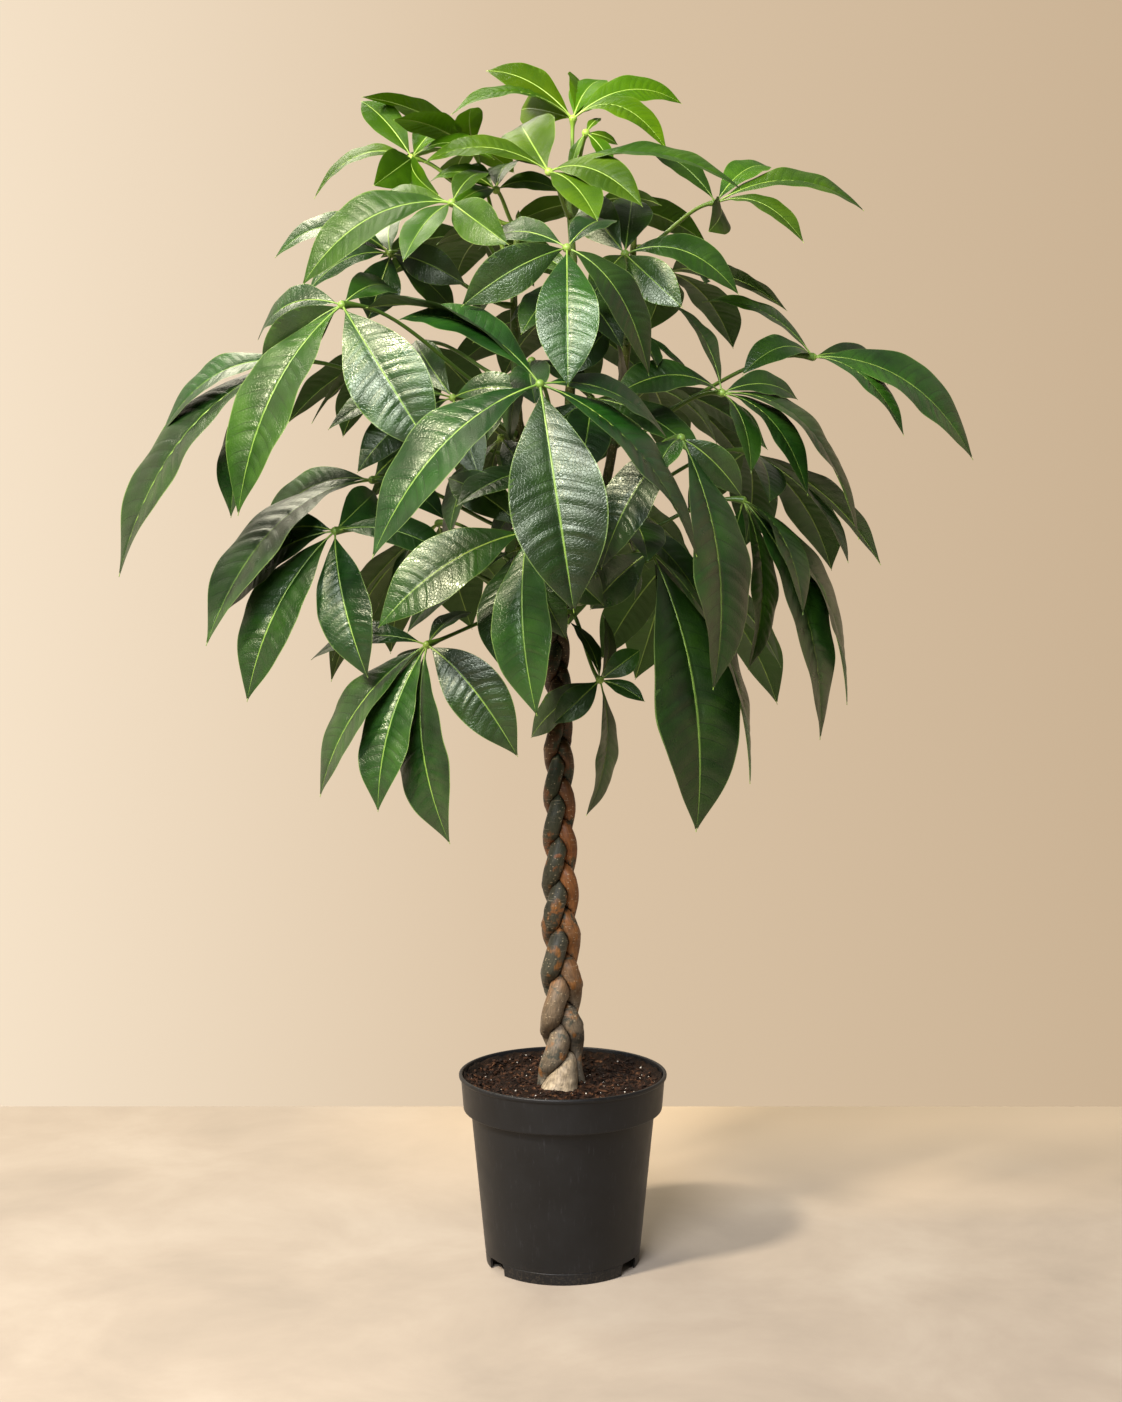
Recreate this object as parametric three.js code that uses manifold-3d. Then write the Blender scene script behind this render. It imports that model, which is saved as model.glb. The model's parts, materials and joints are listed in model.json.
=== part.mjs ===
// A money tree (Pachira) in a black nursery pot: three young trunks plaited together, each with a
// crown of hand-shaped leaves on long stalks. Millimetres, +Z up. The origin is the middle of the
// pot's underside, +X is to the right in the photograph and +Y goes away from its camera.
import * as THREE from "three";
import { mergeVertices } from "three/addons/utils/BufferGeometryUtils.js";
import Module from "manifold-3d";

const wasm = await Module();
wasm.setup();

// Pot: a moulded nursery pot whose rim is 240 mm across
const POT_SIDES = 32;
const RIM_RADIUS = 120;
const RIM_TOP = 220;
const BAND_RADIUS_LOW = 114.5;
const BAND_LOW = 178;
const BODY_RADIUS_HIGH = 106;
const FOOT_RADIUS = 88.5;
const POT_WALL = 2.6;
const BAND_STEP = 4;
const LIP_ROLL = 4;
const LIP_PROUD = 2;
const LIP_ROUNDING = 1.5;
const FLOOR_LOW = 14;
const FLOOR_TOP = 17;
const CENTRE_FOOT_RADIUS = 18;
const CENTRE_FOOT_SIDES = 16;
const CENTRE_FOOT_SUNK = 1;
const NOTCH_ANGLES = [-122, -58, 58, 122].map(THREE.MathUtils.degToRad);
const NOTCH_WIDTH = 30;
const NOTCH_DEPTH = 30;
const DRAIN_RADIUS = 7;
const DRAIN_SIDES = 10;
const DRAIN_CIRCLE = 58;

// Soil: heaped against the pot's wall to a little under the rim, with a gentle mound round the trunk
const SOIL_TOP = 203;
const SOIL_AT_WALL = 216;
const SOIL_RINGS = [0.8, 0.5];
const SOIL_MOUND = 5;
const MOUND_RADIUS = 60;
const SOIL_ROLL = 1.6;
const SOIL_RIPPLE = 0.9;
const FIT_GAP = 0.4;

// Plait: half of its width and of its depth between the trunks' middles, how far trunks that come from
// the left are in front of those from the right, and the trunks' radius, all where the taper is 1
const PLAIT_ACROSS = 11.3;
const PLAIT_DEEP = 11;
const LEFT_IN_FRONT = 6;
const TRUNK_RADIUS = 10.8;
const TAPER_AT_SOIL = 1.22;
const TAPER_LOSS = 0.00115;
const TAPER_LEAST = 0.5;
const FOOT_FLARE = 0.2;
const FRONT_FOOT_FLARE = 1;
const FOOT_HEIGHT = 16;
const TURN_AT_SOIL = 184;
const TURN_LOSS = 0.12;
const FIRST_NOTCH = 254.5;
const SLOW_TO_RIGHT = 0.3;
const PLAIT_LEAN = -0.012;
const TRUNK_SIDES = 7;
const PRESS_GAP = 0.65;
const BURIED_TO = 150;
const PLAIT_LOW = 198;
const PLAIT_STEP = 17;
const PARTING_STEP = 25;
const STEM_STEP = 75;
const PLAIT_TOP = 700;
const PARTED_AT = 800;
const STEM_EASE = 0.25;
const STRANDS = ["left", "middle", "right"];
const PRESSED_ORDER = ["middle", "left", "right"];

// The middles of the trunks' feet in the soil, and the heights between which they join the plait
const FEET = { left: [-15, -2], middle: [12.5, 5], right: [-5, -20] };
const FRONT_STRAND = "right";
const FEET_END = 200;
const PLAIT_START = 250;

// The free stems above the plait: [x, y, height] on each stem's middle line
const STEM_ROUTES = {
  left: [[-24, 8, 800], [-44, 14, 900], [-53, 10, 1010], [-55, 6, 1110], [-50, 14, 1195]],
  middle: [[0, -16, 800], [4, -24, 900], [9, -20, 1020], [12, -6, 1130], [4, 10, 1235]],
  right: [[26, 10, 800], [50, 16, 900], [68, 10, 1010], [76, 6, 1090], [80, 12, 1170]],
};
const STEM_TIP_RADIUS = 3.2;
const TIP_TAPER = 260;

// Stalks: where one leaves its stem, how it bends as shares of its reach and climb, and its thickness
const STALK_SIDES = 5;
const STALK_STEPS = 3;
const STALK_RADIUS = 2.3;
const STALK_END_RADIUS = 3.6;
const HUB_RADIUS = 4.6;
const STALK_DROP = 0.35;
const STALK_START = 0.3;
const STALK_START_LEAST = 9;
const STALK_ARRIVAL = 0.34;
const STALK_HANG = 0.1;
const STALK_CLIMB = 0.35;
const JOINT_LOWEST = 760;
const JOINT_STEP = 9;
const JOINT_BELOW_TOP = 5;
const SEAT_DEEPEST = -1;
const SEAT_PROUDEST = 3;
const SEAT_STEP = 0.15;

// Blades: hub to tip they are an oval with a narrow foot and a drawn-out tip, folded along the rib
const BLADE_ROWS = [
  { from: 200, rows: [0.08, 0.28, 0.5, 0.72, 0.9] },
  { from: 120, rows: [0.09, 0.33, 0.6, 0.85] },
  { from: 0, rows: [0.12, 0.45, 0.8] },
];
const BLADE_STARTS = 0.04;
const FOOT_POWER = 1.25;
const TIP_POWER = 1.05;
const TIP_DRAWN = 0.45;
const LEAST_HALF_WIDTH = 1.6;
const WIDTH_TO_LENGTH = 0.38;
const RIB_TOP = 0.5;
const RIB_UNDER = 1.3;
const FOLD = 0.13;
const BOW = 0.1;
const LEAN_OUT = 0.8;
const LEAF_GAP = 0.35;
const TRY_STEP = 22;
const DROOP_STEP = THREE.MathUtils.degToRad(8);
const TRIES = 6;
const LEAF_EASE = 0.15;

// Where the photograph was taken from, so that a leaf can be placed by the pixel it is seen at
const VIEW = {
  distance: 2210.5, height: 807, aside: -2.1, tilt: THREE.MathUtils.degToRad(4.1),
  focal: 1947.2, across: 561, down: 701,
};

// The leaves that the photograph shows. A hub is [pixels across, pixels down, mm beyond the trunk].
// A blade is its tip's [pixels across, pixels down, mm beyond the hub], the width in pixels that shows
// (below 0 where its underside does) and, where it arches in the picture, the mm that it is lifted.
const LEAVES = [
  { name: "leaf_front", stem: "middle", hub: [540, 384, -270], blades: [
    [574, 613, -50, 97], [372, 559, -20, 60, 12], [697, 557, -10, 36, 8], [398, 320, 60, 30, 10],
    [366, 308, 90, 14, 8], [668, 440, 50, 24, 8]] },
  { name: "leaf_left", stem: "left", hub: [342, 305, -160], blades: [
    [434, 455, -50, 78], [238, 516, -30, 54, 8], [262, 374, 30, 46, 10], [258, 340, 80, 28, 12],
    [395, 292, 100, 26, 4]] },
  { name: "leaf_front_high", stem: "middle", hub: [567, 248, -220], blades: [
    [568, 387, -60, 62], [461, 307, -10, 46, 8], [478, 250, 70, 24, 8], [649, 376, 10, 38, 14],
    [612, 222, 90, 24]] },
  { name: "leaf_low_right_front", stem: "right", hub: [651, 551, -140], blades: [
    [696, 832, -50, 78], [750, 784, 10, 26, 6], [590, 610, 30, 44, 6], [668, 640, 90, 34]] },
  { name: "leaf_low_left", stem: "left", hub: [427, 645, -100], blades: [
    [450, 844, -60, 50], [378, 812, -40, 46], [518, 757, -20, 58, 14], [320, 797, 10, 34, 6],
    [311, 660, 40, 24, 6], [472, 612, 60, 12], [398, 688, 60, 22]] },
  { name: "leaf_lower_left", stem: "left", hub: [335, 531, -70], blades: [
    [368, 678, -60, 55], [247, 702, -30, 50, 4], [226, 612, 20, 28, 8], [455, 562, -10, 30, 6],
    [375, 492, 80, 36], [262, 552, 60, 30, 10]] },
  { name: "leaf_right_front", stem: "right", hub: [681, 438, -190], blades: [
    [713, 690, -60, 58], [601, 570, -10, 48, 6], [742, 497, 20, 34, 8], [655, 478, -90, 26]] },
  { name: "leaf_front_low", stem: "middle", hub: [528, 532, -150], blades: [
    [537, 716, -60, 63], [378, 628, -10, 60, 10], [447, 478, 50, 40, 4], [604, 606, 20, 44]] },
  { name: "leaf_far_left", stem: "left", hub: [290, 362, -110], blades: [
    [119, 577, -20, 36, 16], [161, 436, 20, 26, 14], [231, 518, -10, 34], [252, 402, 60, 28]] },
  { name: "leaf_far_right", stem: "right", hub: [813, 357, 60], blades: [
    [973, 460, 30, 32, 16], [904, 436, -40, 20, 10], [888, 385, 60, 18, 8], [742, 375, -60, 25, 12],
    [702, 302, 20, 16, 8]] },
  { name: "leaf_right", stem: "right", hub: [722, 393, -70], blades: [
    [859, 540, 10, 14, 28], [808, 496, -30, 18, 12], [798, 400, 50, 22, 6], [751, 474, -60, 22, 4],
    [612, 398, -60, 26, 10], [662, 300, 50, 18, 6]] },
  { name: "leaf_low_right", stem: "right", hub: [743, 500, 0], blades: [
    [820, 740, -20, 46, 8], [847, 705, 60, 22, 10], [803, 615, -90, 22, 8], [748, 670, -70, 30],
    [690, 600, 80, 36]] },
  { name: "leaf_left_high", stem: "left", hub: [452, 203, -130], blades: [
    [509, 245, -60, 42], [302, 286, 10, 36, 14], [349, 232, 60, 24, 8], [403, 262, -70, 28],
    [486, 172, 70, 20]] },
  { name: "leaf_right_high", stem: "right", hub: [625, 254, -90], blades: [
    [739, 295, -10, 26, 14], [683, 308, -50, 40], [583, 200, 60, 42], [632, 199, 80, 44],
    [590, 300, -60, 30]] },
  { name: "leaf_right_top", stem: "right", hub: [716, 203, 10], blades: [
    [864, 211, 30, 13, 12], [804, 243, -50, 16, 10], [771, 168, 70, 24, 6], [646, 150, 30, 24, 4],
    [708, 232, -90, 20]] },
  { name: "leaf_left_middle", stem: "left", hub: [453, 398, -60], blades: [
    [328, 430, 30, 24, 8], [357, 473, -20, 36, 6], [415, 340, 60, 34], [528, 390, -40, 30, 4],
    [480, 480, -50, 38]] },
  { name: "leaf_inner_left", stem: "left", hub: [391, 254, -40], blades: [
    [308, 292, -10, 22, 8], [275, 258, 30, 22, 20], [311, 249, 60, 20, 6], [368, 320, -60, 42],
    [466, 285, -40, 36, 6], [455, 312, 40, 30], [395, 222, 80, 24]] },
  { name: "leaf_left_top", stem: "left", hub: [412, 158, 10], blades: [
    [361, 101, 40, 28], [373, 186, -70, 38], [314, 199, 20, 10, 14], [495, 160, -50, 18, 8],
    [450, 128, 90, 24], [440, 196, -80, 24]] },
  { name: "leaf_crown", stem: "middle", hub: [573, 119, 0], blades: [
    [682, 104, 20, 20, 12], [667, 150, -60, 21, 18], [603, 80, 80, 24], [578, 82, 110, 34],
    [486, 71, 30, 25, 4], [521, 110, 90, 34], [451, 115, -20, 13, 14]] },
  { name: "leaf_lime", stem: "middle", hub: [549, 172, -80], blades: [
    [521, 125, 90, 62], [643, 207, -60, 30, 10], [742, 190, -20, 14, 8], [424, 163, 10, 16, 8],
    [598, 222, -90, 30]] },
  { name: "leaf_upper_left", stem: "left", hub: [496, 190, -25], blades: [
    [560, 192, -40, 18, 6], [466, 166, 60, 20], [452, 208, -60, 18], [514, 164, 80, 20],
    [430, 182, 30, 16, 8]] },
  { name: "leaf_fold_left", stem: "left", hub: [372, 480, 0], blades: [
    [206, 646, -20, 36, 18], [262, 540, 50, 26, 14], [420, 440, 70, 30], [445, 520, -50, 30, 6]] },
  { name: "leaf_low_small", stem: "right", hub: [600, 680, -60], blades: [
    [586, 816, -30, 18], [553, 724, -20, 30], [531, 738, 50, 30], [570, 622, 40, 14],
    [602, 613, 60, 12], [640, 650, 10, 26], [645, 702, -20, 16]] },
  { name: "leaf_bud", stem: "middle", hub: [586, 133, -25], blades: [
    [572, 172, -15, 10], [612, 168, -20, 13], [618, 145, 15, 9], [601, 118, 20, 8]] },
];

// The leaves that the photograph doesn't show are laid out by a rule, from low to high: those round the
// back of the crown, and the small dark ones close to the stems inside it
const RULED_LEAVES = [
  { name: "leaf_back", count: 12, blades: 6, yawFrom: 14, yawTo: 166, low: 790, high: 1290,
    widest: 235, narrowest: 95, bladeLength: 225, droopLow: 52, droopHigh: 8, leanOut: 0.5 },
  { name: "leaf_inner", count: 9, blades: 4, yawFrom: 194, yawTo: 346, low: 800, high: 1170,
    widest: 78, narrowest: 48, bladeLength: 172, droopLow: 60, droopHigh: 30, leanOut: 0.8 },
];
const WIDEST_AT = 0.3;
const SIZE_LOW = 1.05;
const SIZE_HIGH = 0.62;
const FAN = THREE.MathUtils.degToRad(105);
const FAN_SHORTENS = 0.34;
const LENGTH_DRAW = 0.2;
const DROOP_DRAW = THREE.MathUtils.degToRad(14);
const GOLDEN = 0.618034;
const FIRST_TURN = 0.2;
const SIDE_STEM_FROM = 0.5;

const COLOURS = {
  pot: 0x26272a, potting_soil: 0x3a2519, stem_left: 0x6d5238, stem_middle: 0x7b5b3c,
  stem_right: 0x66573d, young: 0x7fae22, grown: 0x2c5d2c,
};
const YOUNG_FROM = 1050;
const YOUNG_TO = 1380;

// The same number between 0 and 1 each time for the same seed
function chance(seed) {
  const wave = Math.sin(seed * 12.9898) * 43758.5453;
  return wave - Math.floor(wave);
}

// Triangles that share their corners, as a closed solid whose faces point out
function solidOf(geometry) {
  geometry.deleteAttribute("normal");
  geometry.deleteAttribute("uv");
  const merged = mergeVertices(geometry, 1e-4);
  const faces = new Uint32Array(merged.index.array);
  const corner = (index) => new THREE.Vector3().fromBufferAttribute(merged.attributes.position, index);
  let volume = 0;
  for (let first = 0; first < faces.length; first += 3) {
    const [a, b, c] = [faces[first], faces[first + 1], faces[first + 2]].map(corner);
    volume += a.dot(b.cross(c)) / 6;
  }
  return new wasm.Manifold(new wasm.Mesh({
    numProp: 3,
    vertProperties: new Float32Array(merged.attributes.position.array),
    triVerts: volume < 0 ? faces.reverse() : faces,
  }));
}

function geometryOf(solid) {
  const mesh = solid.getMesh();
  const geometry = new THREE.BufferGeometry();
  geometry.setAttribute("position", new THREE.BufferAttribute(mesh.vertProperties.slice(), 3));
  geometry.setIndex(new THREE.BufferAttribute(mesh.triVerts.slice(), 1));
  geometry.computeVertexNormals();
  return geometry;
}

function addAll(solids) {
  return solids.reduce((sum, solid) => sum.add(solid));
}

// A closed skin through rings of corners, all with the same count, with flat or pointed ends. The
// cuts across its four-sided faces mirror each other, so both faces of a blade are split alike.
function skin(rings, startPoint, endPoint) {
  const corners = [];
  const faces = [];
  const count = rings[0].length;
  for (const ring of rings) {
    for (const corner of ring) corners.push(corner.x, corner.y, corner.z);
  }
  for (let row = 0; row + 1 < rings.length; row += 1) {
    for (let side = 0; side < count; side += 1) {
      const a = row * count + side;
      const b = row * count + (side + 1) % count;
      if (side % 2) faces.push(a, b, a + count, b, b + count, a + count);
      else faces.push(a, b, b + count, a, b + count, a + count);
    }
  }
  const last = (rings.length - 1) * count;
  const start = corners.length / 3;
  corners.push(startPoint.x, startPoint.y, startPoint.z, endPoint.x, endPoint.y, endPoint.z);
  for (let side = 0; side < count; side += 1) {
    const next = (side + 1) % count;
    faces.push(start, next, side);
    faces.push(start + 1, last + side, last + next);
  }
  const geometry = new THREE.BufferGeometry();
  geometry.setAttribute("position", new THREE.BufferAttribute(new Float32Array(corners), 3));
  geometry.setIndex(faces);
  return geometry;
}

function turned(profile, sides) {
  const points = profile.map(([radius, height]) => new THREE.Vector2(radius, height));
  return new THREE.LatheGeometry(points, sides).rotateX(Math.PI / 2);
}

function rod(radius, low, high, sides, x, y) {
  const geometry = new THREE.CylinderGeometry(radius, radius, high - low, sides);
  return geometry.rotateX(Math.PI / 2).translate(x, y, (low + high) / 2);
}

// Pot: one moulding with a rolled lip, a collar band, a tapered body, a raised floor and a skirt
function bodyRadius(height) {
  return THREE.MathUtils.mapLinear(height, 0, BAND_LOW, FOOT_RADIUS, BODY_RADIUS_HIGH);
}

function makePot() {
  let pot = solidOf(turned([
    [0, FLOOR_LOW], [bodyRadius(FLOOR_LOW) - POT_WALL, FLOOR_LOW], [FOOT_RADIUS - POT_WALL, 0],
    [FOOT_RADIUS, 0], [BODY_RADIUS_HIGH, BAND_LOW], [BAND_RADIUS_LOW, BAND_LOW + BAND_STEP / 4],
    [RIM_RADIUS - LIP_PROUD, RIM_TOP - LIP_ROLL], [RIM_RADIUS, RIM_TOP - LIP_ROLL / 2],
    [RIM_RADIUS - LIP_ROUNDING, RIM_TOP], [RIM_RADIUS - POT_WALL - LIP_ROUNDING, RIM_TOP],
    [BAND_RADIUS_LOW - POT_WALL, BAND_LOW + BAND_STEP],
    [BODY_RADIUS_HIGH - POT_WALL, BAND_LOW + BAND_STEP / 2],
    [bodyRadius(FLOOR_TOP) - POT_WALL, FLOOR_TOP], [0, FLOOR_TOP],
  ], POT_SIDES));
  const footTop = FLOOR_LOW + CENTRE_FOOT_SUNK;
  pot = pot.add(solidOf(rod(CENTRE_FOOT_RADIUS, 0, footTop, CENTRE_FOOT_SIDES, 0, 0)));
  for (const angle of NOTCH_ANGLES) {
    const notch = new THREE.BoxGeometry(NOTCH_WIDTH, NOTCH_DEPTH, 2 * FLOOR_LOW);
    notch.translate(0, -FOOT_RADIUS, 0).rotateZ(angle);
    const x = DRAIN_CIRCLE * Math.sin(angle);
    const y = -DRAIN_CIRCLE * Math.cos(angle);
    const drain = rod(DRAIN_RADIUS, 0, FLOOR_TOP + 1, DRAIN_SIDES, x, y);
    pot = pot.subtract(solidOf(notch)).subtract(solidOf(drain));
  }
  return pot;
}

// Soil: sits on the pot's floor, clear of its wall, with a plain hole where the trunks stand in it
function soilRelief(x, y) {
  const radius = Math.hypot(x, y);
  const mound = SOIL_MOUND * Math.exp(-((radius / MOUND_RADIUS) ** 2));
  const roll = SOIL_ROLL * Math.sin(x * 0.11 + 1.3) * Math.cos(y * 0.13);
  return mound + roll + SOIL_RIPPLE * Math.sin(x * 0.31 - y * 0.23);
}

function makeSoil(hole) {
  const inner = POT_WALL + FIT_GAP;
  const edge = THREE.MathUtils.mapLinear(
    SOIL_AT_WALL, BAND_LOW + BAND_STEP, RIM_TOP, BAND_RADIUS_LOW - inner, RIM_RADIUS - LIP_ROUNDING - inner);
  const geometry = turned([
    [0, FLOOR_TOP + FIT_GAP], [bodyRadius(FLOOR_TOP) - inner, FLOOR_TOP + FIT_GAP],
    [BODY_RADIUS_HIGH - inner, BAND_LOW + BAND_STEP / 2 + FIT_GAP],
    [BAND_RADIUS_LOW - inner - FIT_GAP, BAND_LOW + BAND_STEP + FIT_GAP],
    [edge - FIT_GAP, SOIL_AT_WALL],
    ...SOIL_RINGS.map((share) => [share * edge, SOIL_TOP]), [0, SOIL_TOP],
  ], POT_SIDES);
  const places = geometry.attributes.position;
  for (let index = 0; index < places.count; index += 1) {
    const height = places.getZ(index);
    if (height > SOIL_TOP - 1) {
      places.setZ(index, height + soilRelief(places.getX(index), places.getY(index)));
    }
  }
  return solidOf(geometry).subtract(hole);
}

// Trunks: strand after strand crosses in front from the outside to the middle, then passes behind.
// Those that come from the left climb longer and pass further in front.
function taperAt(height) {
  return Math.max(TAPER_LEAST, TAPER_AT_SOIL - TAPER_LOSS * (height - SOIL_TOP));
}

function plaitPhase(height, strand) {
  const turnHere = TURN_AT_SOIL - TURN_LOSS * (height - SOIL_TOP);
  const turnAtNotch = TURN_AT_SOIL - TURN_LOSS * (FIRST_NOTCH - SOIL_TOP);
  const turned = -(2 * Math.PI / TURN_LOSS) * Math.log(turnHere / turnAtNotch);
  const even = turned - Math.PI / 6 + STRANDS.indexOf(strand) * (2 * Math.PI / 3);
  return even - SLOW_TO_RIGHT * Math.sin(even);
}

function plaitPlace(height, strand) {
  const phase = plaitPhase(height, strand);
  const across = PLAIT_ACROSS * Math.sin(phase);
  const deep = PLAIT_DEEP * Math.sin(2 * phase) - LEFT_IN_FRONT * Math.cos(phase);
  const plaited = new THREE.Vector2(across, deep).multiplyScalar(taperAt(height));
  plaited.x += PLAIT_LEAN * (height - SOIL_TOP);
  const joined = THREE.MathUtils.smoothstep(height, FEET_END, PLAIT_START);
  return new THREE.Vector2(...FEET[strand]).lerp(plaited, joined);
}

// A smooth line through a stem's route, worked out from the height
function routePlace(route, height) {
  let row = 0;
  while (row < route.length - 2 && height > route[row + 1][2]) row += 1;
  const place = new THREE.Vector2();
  const low = route[row][2];
  const span = route[row + 1][2] - low;
  const part = Math.min((height - low) / span, 1);
  for (const axis of [0, 1]) {
    const slope = (from, to) => (route[to][axis] - route[from][axis]) / (route[to][2] - route[from][2]);
    const slopeLow = slope(Math.max(row - 1, 0), row + 1);
    const slopeHigh = slope(row, Math.min(row + 2, route.length - 1));
    const start = route[row][axis];
    const rise = route[row + 1][axis] - start;
    const bend = part * (1 - part) * (slopeLow * span * (1 - part) - slopeHigh * span * part
      + rise * (2 * part - 1));
    const value = part < 0 ? start + slopeLow * span * part : start + rise * part + bend;
    place.setComponent(axis, value);
  }
  return place;
}

function stemPlace(height, strand) {
  const parted = THREE.MathUtils.smoothstep(height, PLAIT_TOP, PARTED_AT);
  return plaitPlace(height, strand).lerp(routePlace(STEM_ROUTES[strand], height), parted);
}

function stemTop(strand) {
  return STEM_ROUTES[strand].at(-1)[2];
}

function stemRadius(height, strand) {
  const flare = strand === FRONT_STRAND ? FRONT_FOOT_FLARE : FOOT_FLARE;
  const foot = 1 + flare * Math.exp(-(Math.max(height, PLAIT_LOW) - PLAIT_LOW) / FOOT_HEIGHT);
  const full = TRUNK_RADIUS * taperAt(height) * foot;
  const towardsTip = THREE.MathUtils.smoothstep(height, stemTop(strand) - TIP_TAPER, stemTop(strand));
  return THREE.MathUtils.lerp(full, STEM_TIP_RADIUS, towardsTip);
}

// One level slice of a trunk: an oval, longer the way the trunk leans
function stemSlice(height, strand, grown) {
  const centre = stemPlace(height, strand);
  const lean = stemPlace(height + 1, strand).sub(stemPlace(height - 1, strand)).multiplyScalar(0.5);
  const stretch = Math.sqrt(1 + lean.lengthSq());
  const leanWay = lean.lengthSq() > 1e-9 ? lean.clone().normalize() : new THREE.Vector2(1, 0);
  const radius = stemRadius(height, strand) + grown;
  const ring = [];
  for (let side = 0; side < TRUNK_SIDES; side += 1) {
    const angle = side * 2 * Math.PI / TRUNK_SIDES;
    const way = new THREE.Vector2(Math.cos(angle), Math.sin(angle));
    const reach = radius / Math.hypot(way.cross(leanWay), way.dot(leanWay) / stretch);
    const place = centre.clone().addScaledVector(way, reach);
    ring.push(new THREE.Vector3(place.x, place.y, height));
  }
  return ring;
}

function makeStem(strand, grown) {
  const top = stemTop(strand);
  const rings = [];
  let height = BURIED_TO;
  while (height < top) {
    rings.push(stemSlice(height, strand, grown));
    const step = height < PARTED_AT ? PARTING_STEP : STEM_STEP;
    height += height < PLAIT_TOP ? PLAIT_STEP : step;
  }
  rings.push(stemSlice(top, strand, grown));
  for (const corner of rings[0]) corner.z -= grown;
  const foot = stemPlace(BURIED_TO, strand);
  const tip = stemPlace(top, strand);
  return solidOf(skin(rings, new THREE.Vector3(foot.x, foot.y, BURIED_TO - grown),
    new THREE.Vector3(tip.x, tip.y, top + STEM_TIP_RADIUS * 2)));
}

function makeHole() {
  const height = 2 * (SOIL_TOP - BURIED_TO);
  const middle = solidOf(rod(TRUNK_RADIUS / 2, BURIED_TO - FIT_GAP, BURIED_TO + height, TRUNK_SIDES, 0, 0));
  return addAll([middle, ...STRANDS.map((strand) => makeStem(strand, FIT_GAP))]);
}

// The point `beyond` mm past the trunk that is seen at a pixel of the photograph
function seenAt([across, down], beyond) {
  const { sin, cos } = Math;
  const rise = (VIEW.down - down) / VIEW.focal;
  const run = beyond + VIEW.distance;
  const lift = run * (rise * cos(VIEW.tilt) - sin(VIEW.tilt)) / (cos(VIEW.tilt) + rise * sin(VIEW.tilt));
  const depth = run * cos(VIEW.tilt) - lift * sin(VIEW.tilt);
  const x = VIEW.aside + (across - VIEW.across) * depth / VIEW.focal;
  return new THREE.Vector3(x, beyond, VIEW.height + lift);
}

const EYE = new THREE.Vector3(VIEW.aside, -VIEW.distance, VIEW.height);
const UP = new THREE.Vector3(0, 0, 1);

// A blade of a leaf in the photograph: from its hub to its tip, turned until it shows its width
function seenBlade(leaf, blade, moved) {
  const [across, down, beyondHub, shows, lift = 0] = blade;
  const hub = seenAt(leaf.hub, leaf.hub[2]);
  const tip = seenAt([across, down], leaf.hub[2] + beyondHub + moved * TRY_STEP);
  const chord = tip.clone().sub(hub);
  const length = chord.length();
  chord.normalize();
  const middle = hub.clone().lerp(tip, 0.5);
  const ray = middle.clone().sub(EYE);
  const shown = Math.abs(shows) * ray.length() / VIEW.focal;
  ray.normalize();
  const width = Math.max(shown, WIDTH_TO_LENGTH * length);
  const level = chord.clone().cross(ray).normalize();
  const facing = chord.clone().cross(level).multiplyScalar(Math.sign(shows)).normalize();
  const outward = new THREE.Vector3(middle.x, middle.y, 0).normalize();
  const skyward = outward.multiplyScalar(LEAN_OUT).add(UP);
  const tilt = Math.acos(Math.min(1, shown / width)) * (level.dot(skyward) < 0 ? -1 : 1);
  const normal = facing.multiplyScalar(Math.cos(tilt)).addScaledVector(level, Math.sin(tilt));
  return { hub, tip, normal, width, lift };
}

// A blade of a leaf that is laid out by rule: blades fan out from the hub and hang by their own weight
function ruledBlade(leaf, blade, moved) {
  const yaw = leaf.yaw + blade.turn;
  const droop = leaf.droop + blade.droop + DROOP_STEP * moved;
  const chord = new THREE.Vector3(
    Math.cos(yaw) * Math.cos(droop), Math.sin(yaw) * Math.cos(droop), -Math.sin(droop));
  const hub = leaf.place;
  const tip = hub.clone().addScaledVector(chord, blade.length);
  const outward = new THREE.Vector3(Math.cos(leaf.yaw), Math.sin(leaf.yaw), 0);
  const skyward = outward.multiplyScalar(leaf.leanOut).add(UP);
  const across = chord.clone().cross(skyward).normalize();
  const normal = across.cross(chord).normalize();
  return { hub, tip, normal, width: blade.length * WIDTH_TO_LENGTH, lift: 0 };
}

// Half of a blade's width along it, as a share of the widest
function widthShare(along) {
  const part = Math.max((along - BLADE_STARTS) / (1 - BLADE_STARTS), 0);
  const widestAt = FOOT_POWER / (FOOT_POWER + TIP_POWER);
  const oval = (part / widestAt) ** FOOT_POWER * ((1 - part) / (1 - widestAt)) ** TIP_POWER;
  return oval * (1 - TIP_DRAWN * part ** 12);
}

function bladeSolid({ hub, tip, normal, width, lift }) {
  const length = hub.distanceTo(tip);
  const { rows } = BLADE_ROWS.find((choice) => length >= choice.from);
  const bend = hub.clone().lerp(tip, 0.5).addScaledVector(normal, 2 * BOW * length);
  bend.z += 2 * lift;
  const rib = new THREE.QuadraticBezierCurve3(hub, bend, tip);
  const rings = rows.map((along) => {
    const place = rib.getPoint(along);
    const way = rib.getTangent(along);
    const across = way.clone().cross(normal).normalize();
    const face = across.clone().cross(way);
    const half = Math.max(width / 2 * widthShare(along), LEAST_HALF_WIDTH);
    const left = place.clone().addScaledVector(across, -half).addScaledVector(face, FOLD * half);
    const right = place.clone().addScaledVector(across, half).addScaledVector(face, FOLD * half);
    const top = place.clone().addScaledVector(face, RIB_TOP);
    const under = place.clone().addScaledVector(face, -RIB_UNDER);
    return [left, under, right, top];
  });
  return solidOf(skin(rings, hub, tip));
}

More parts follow.
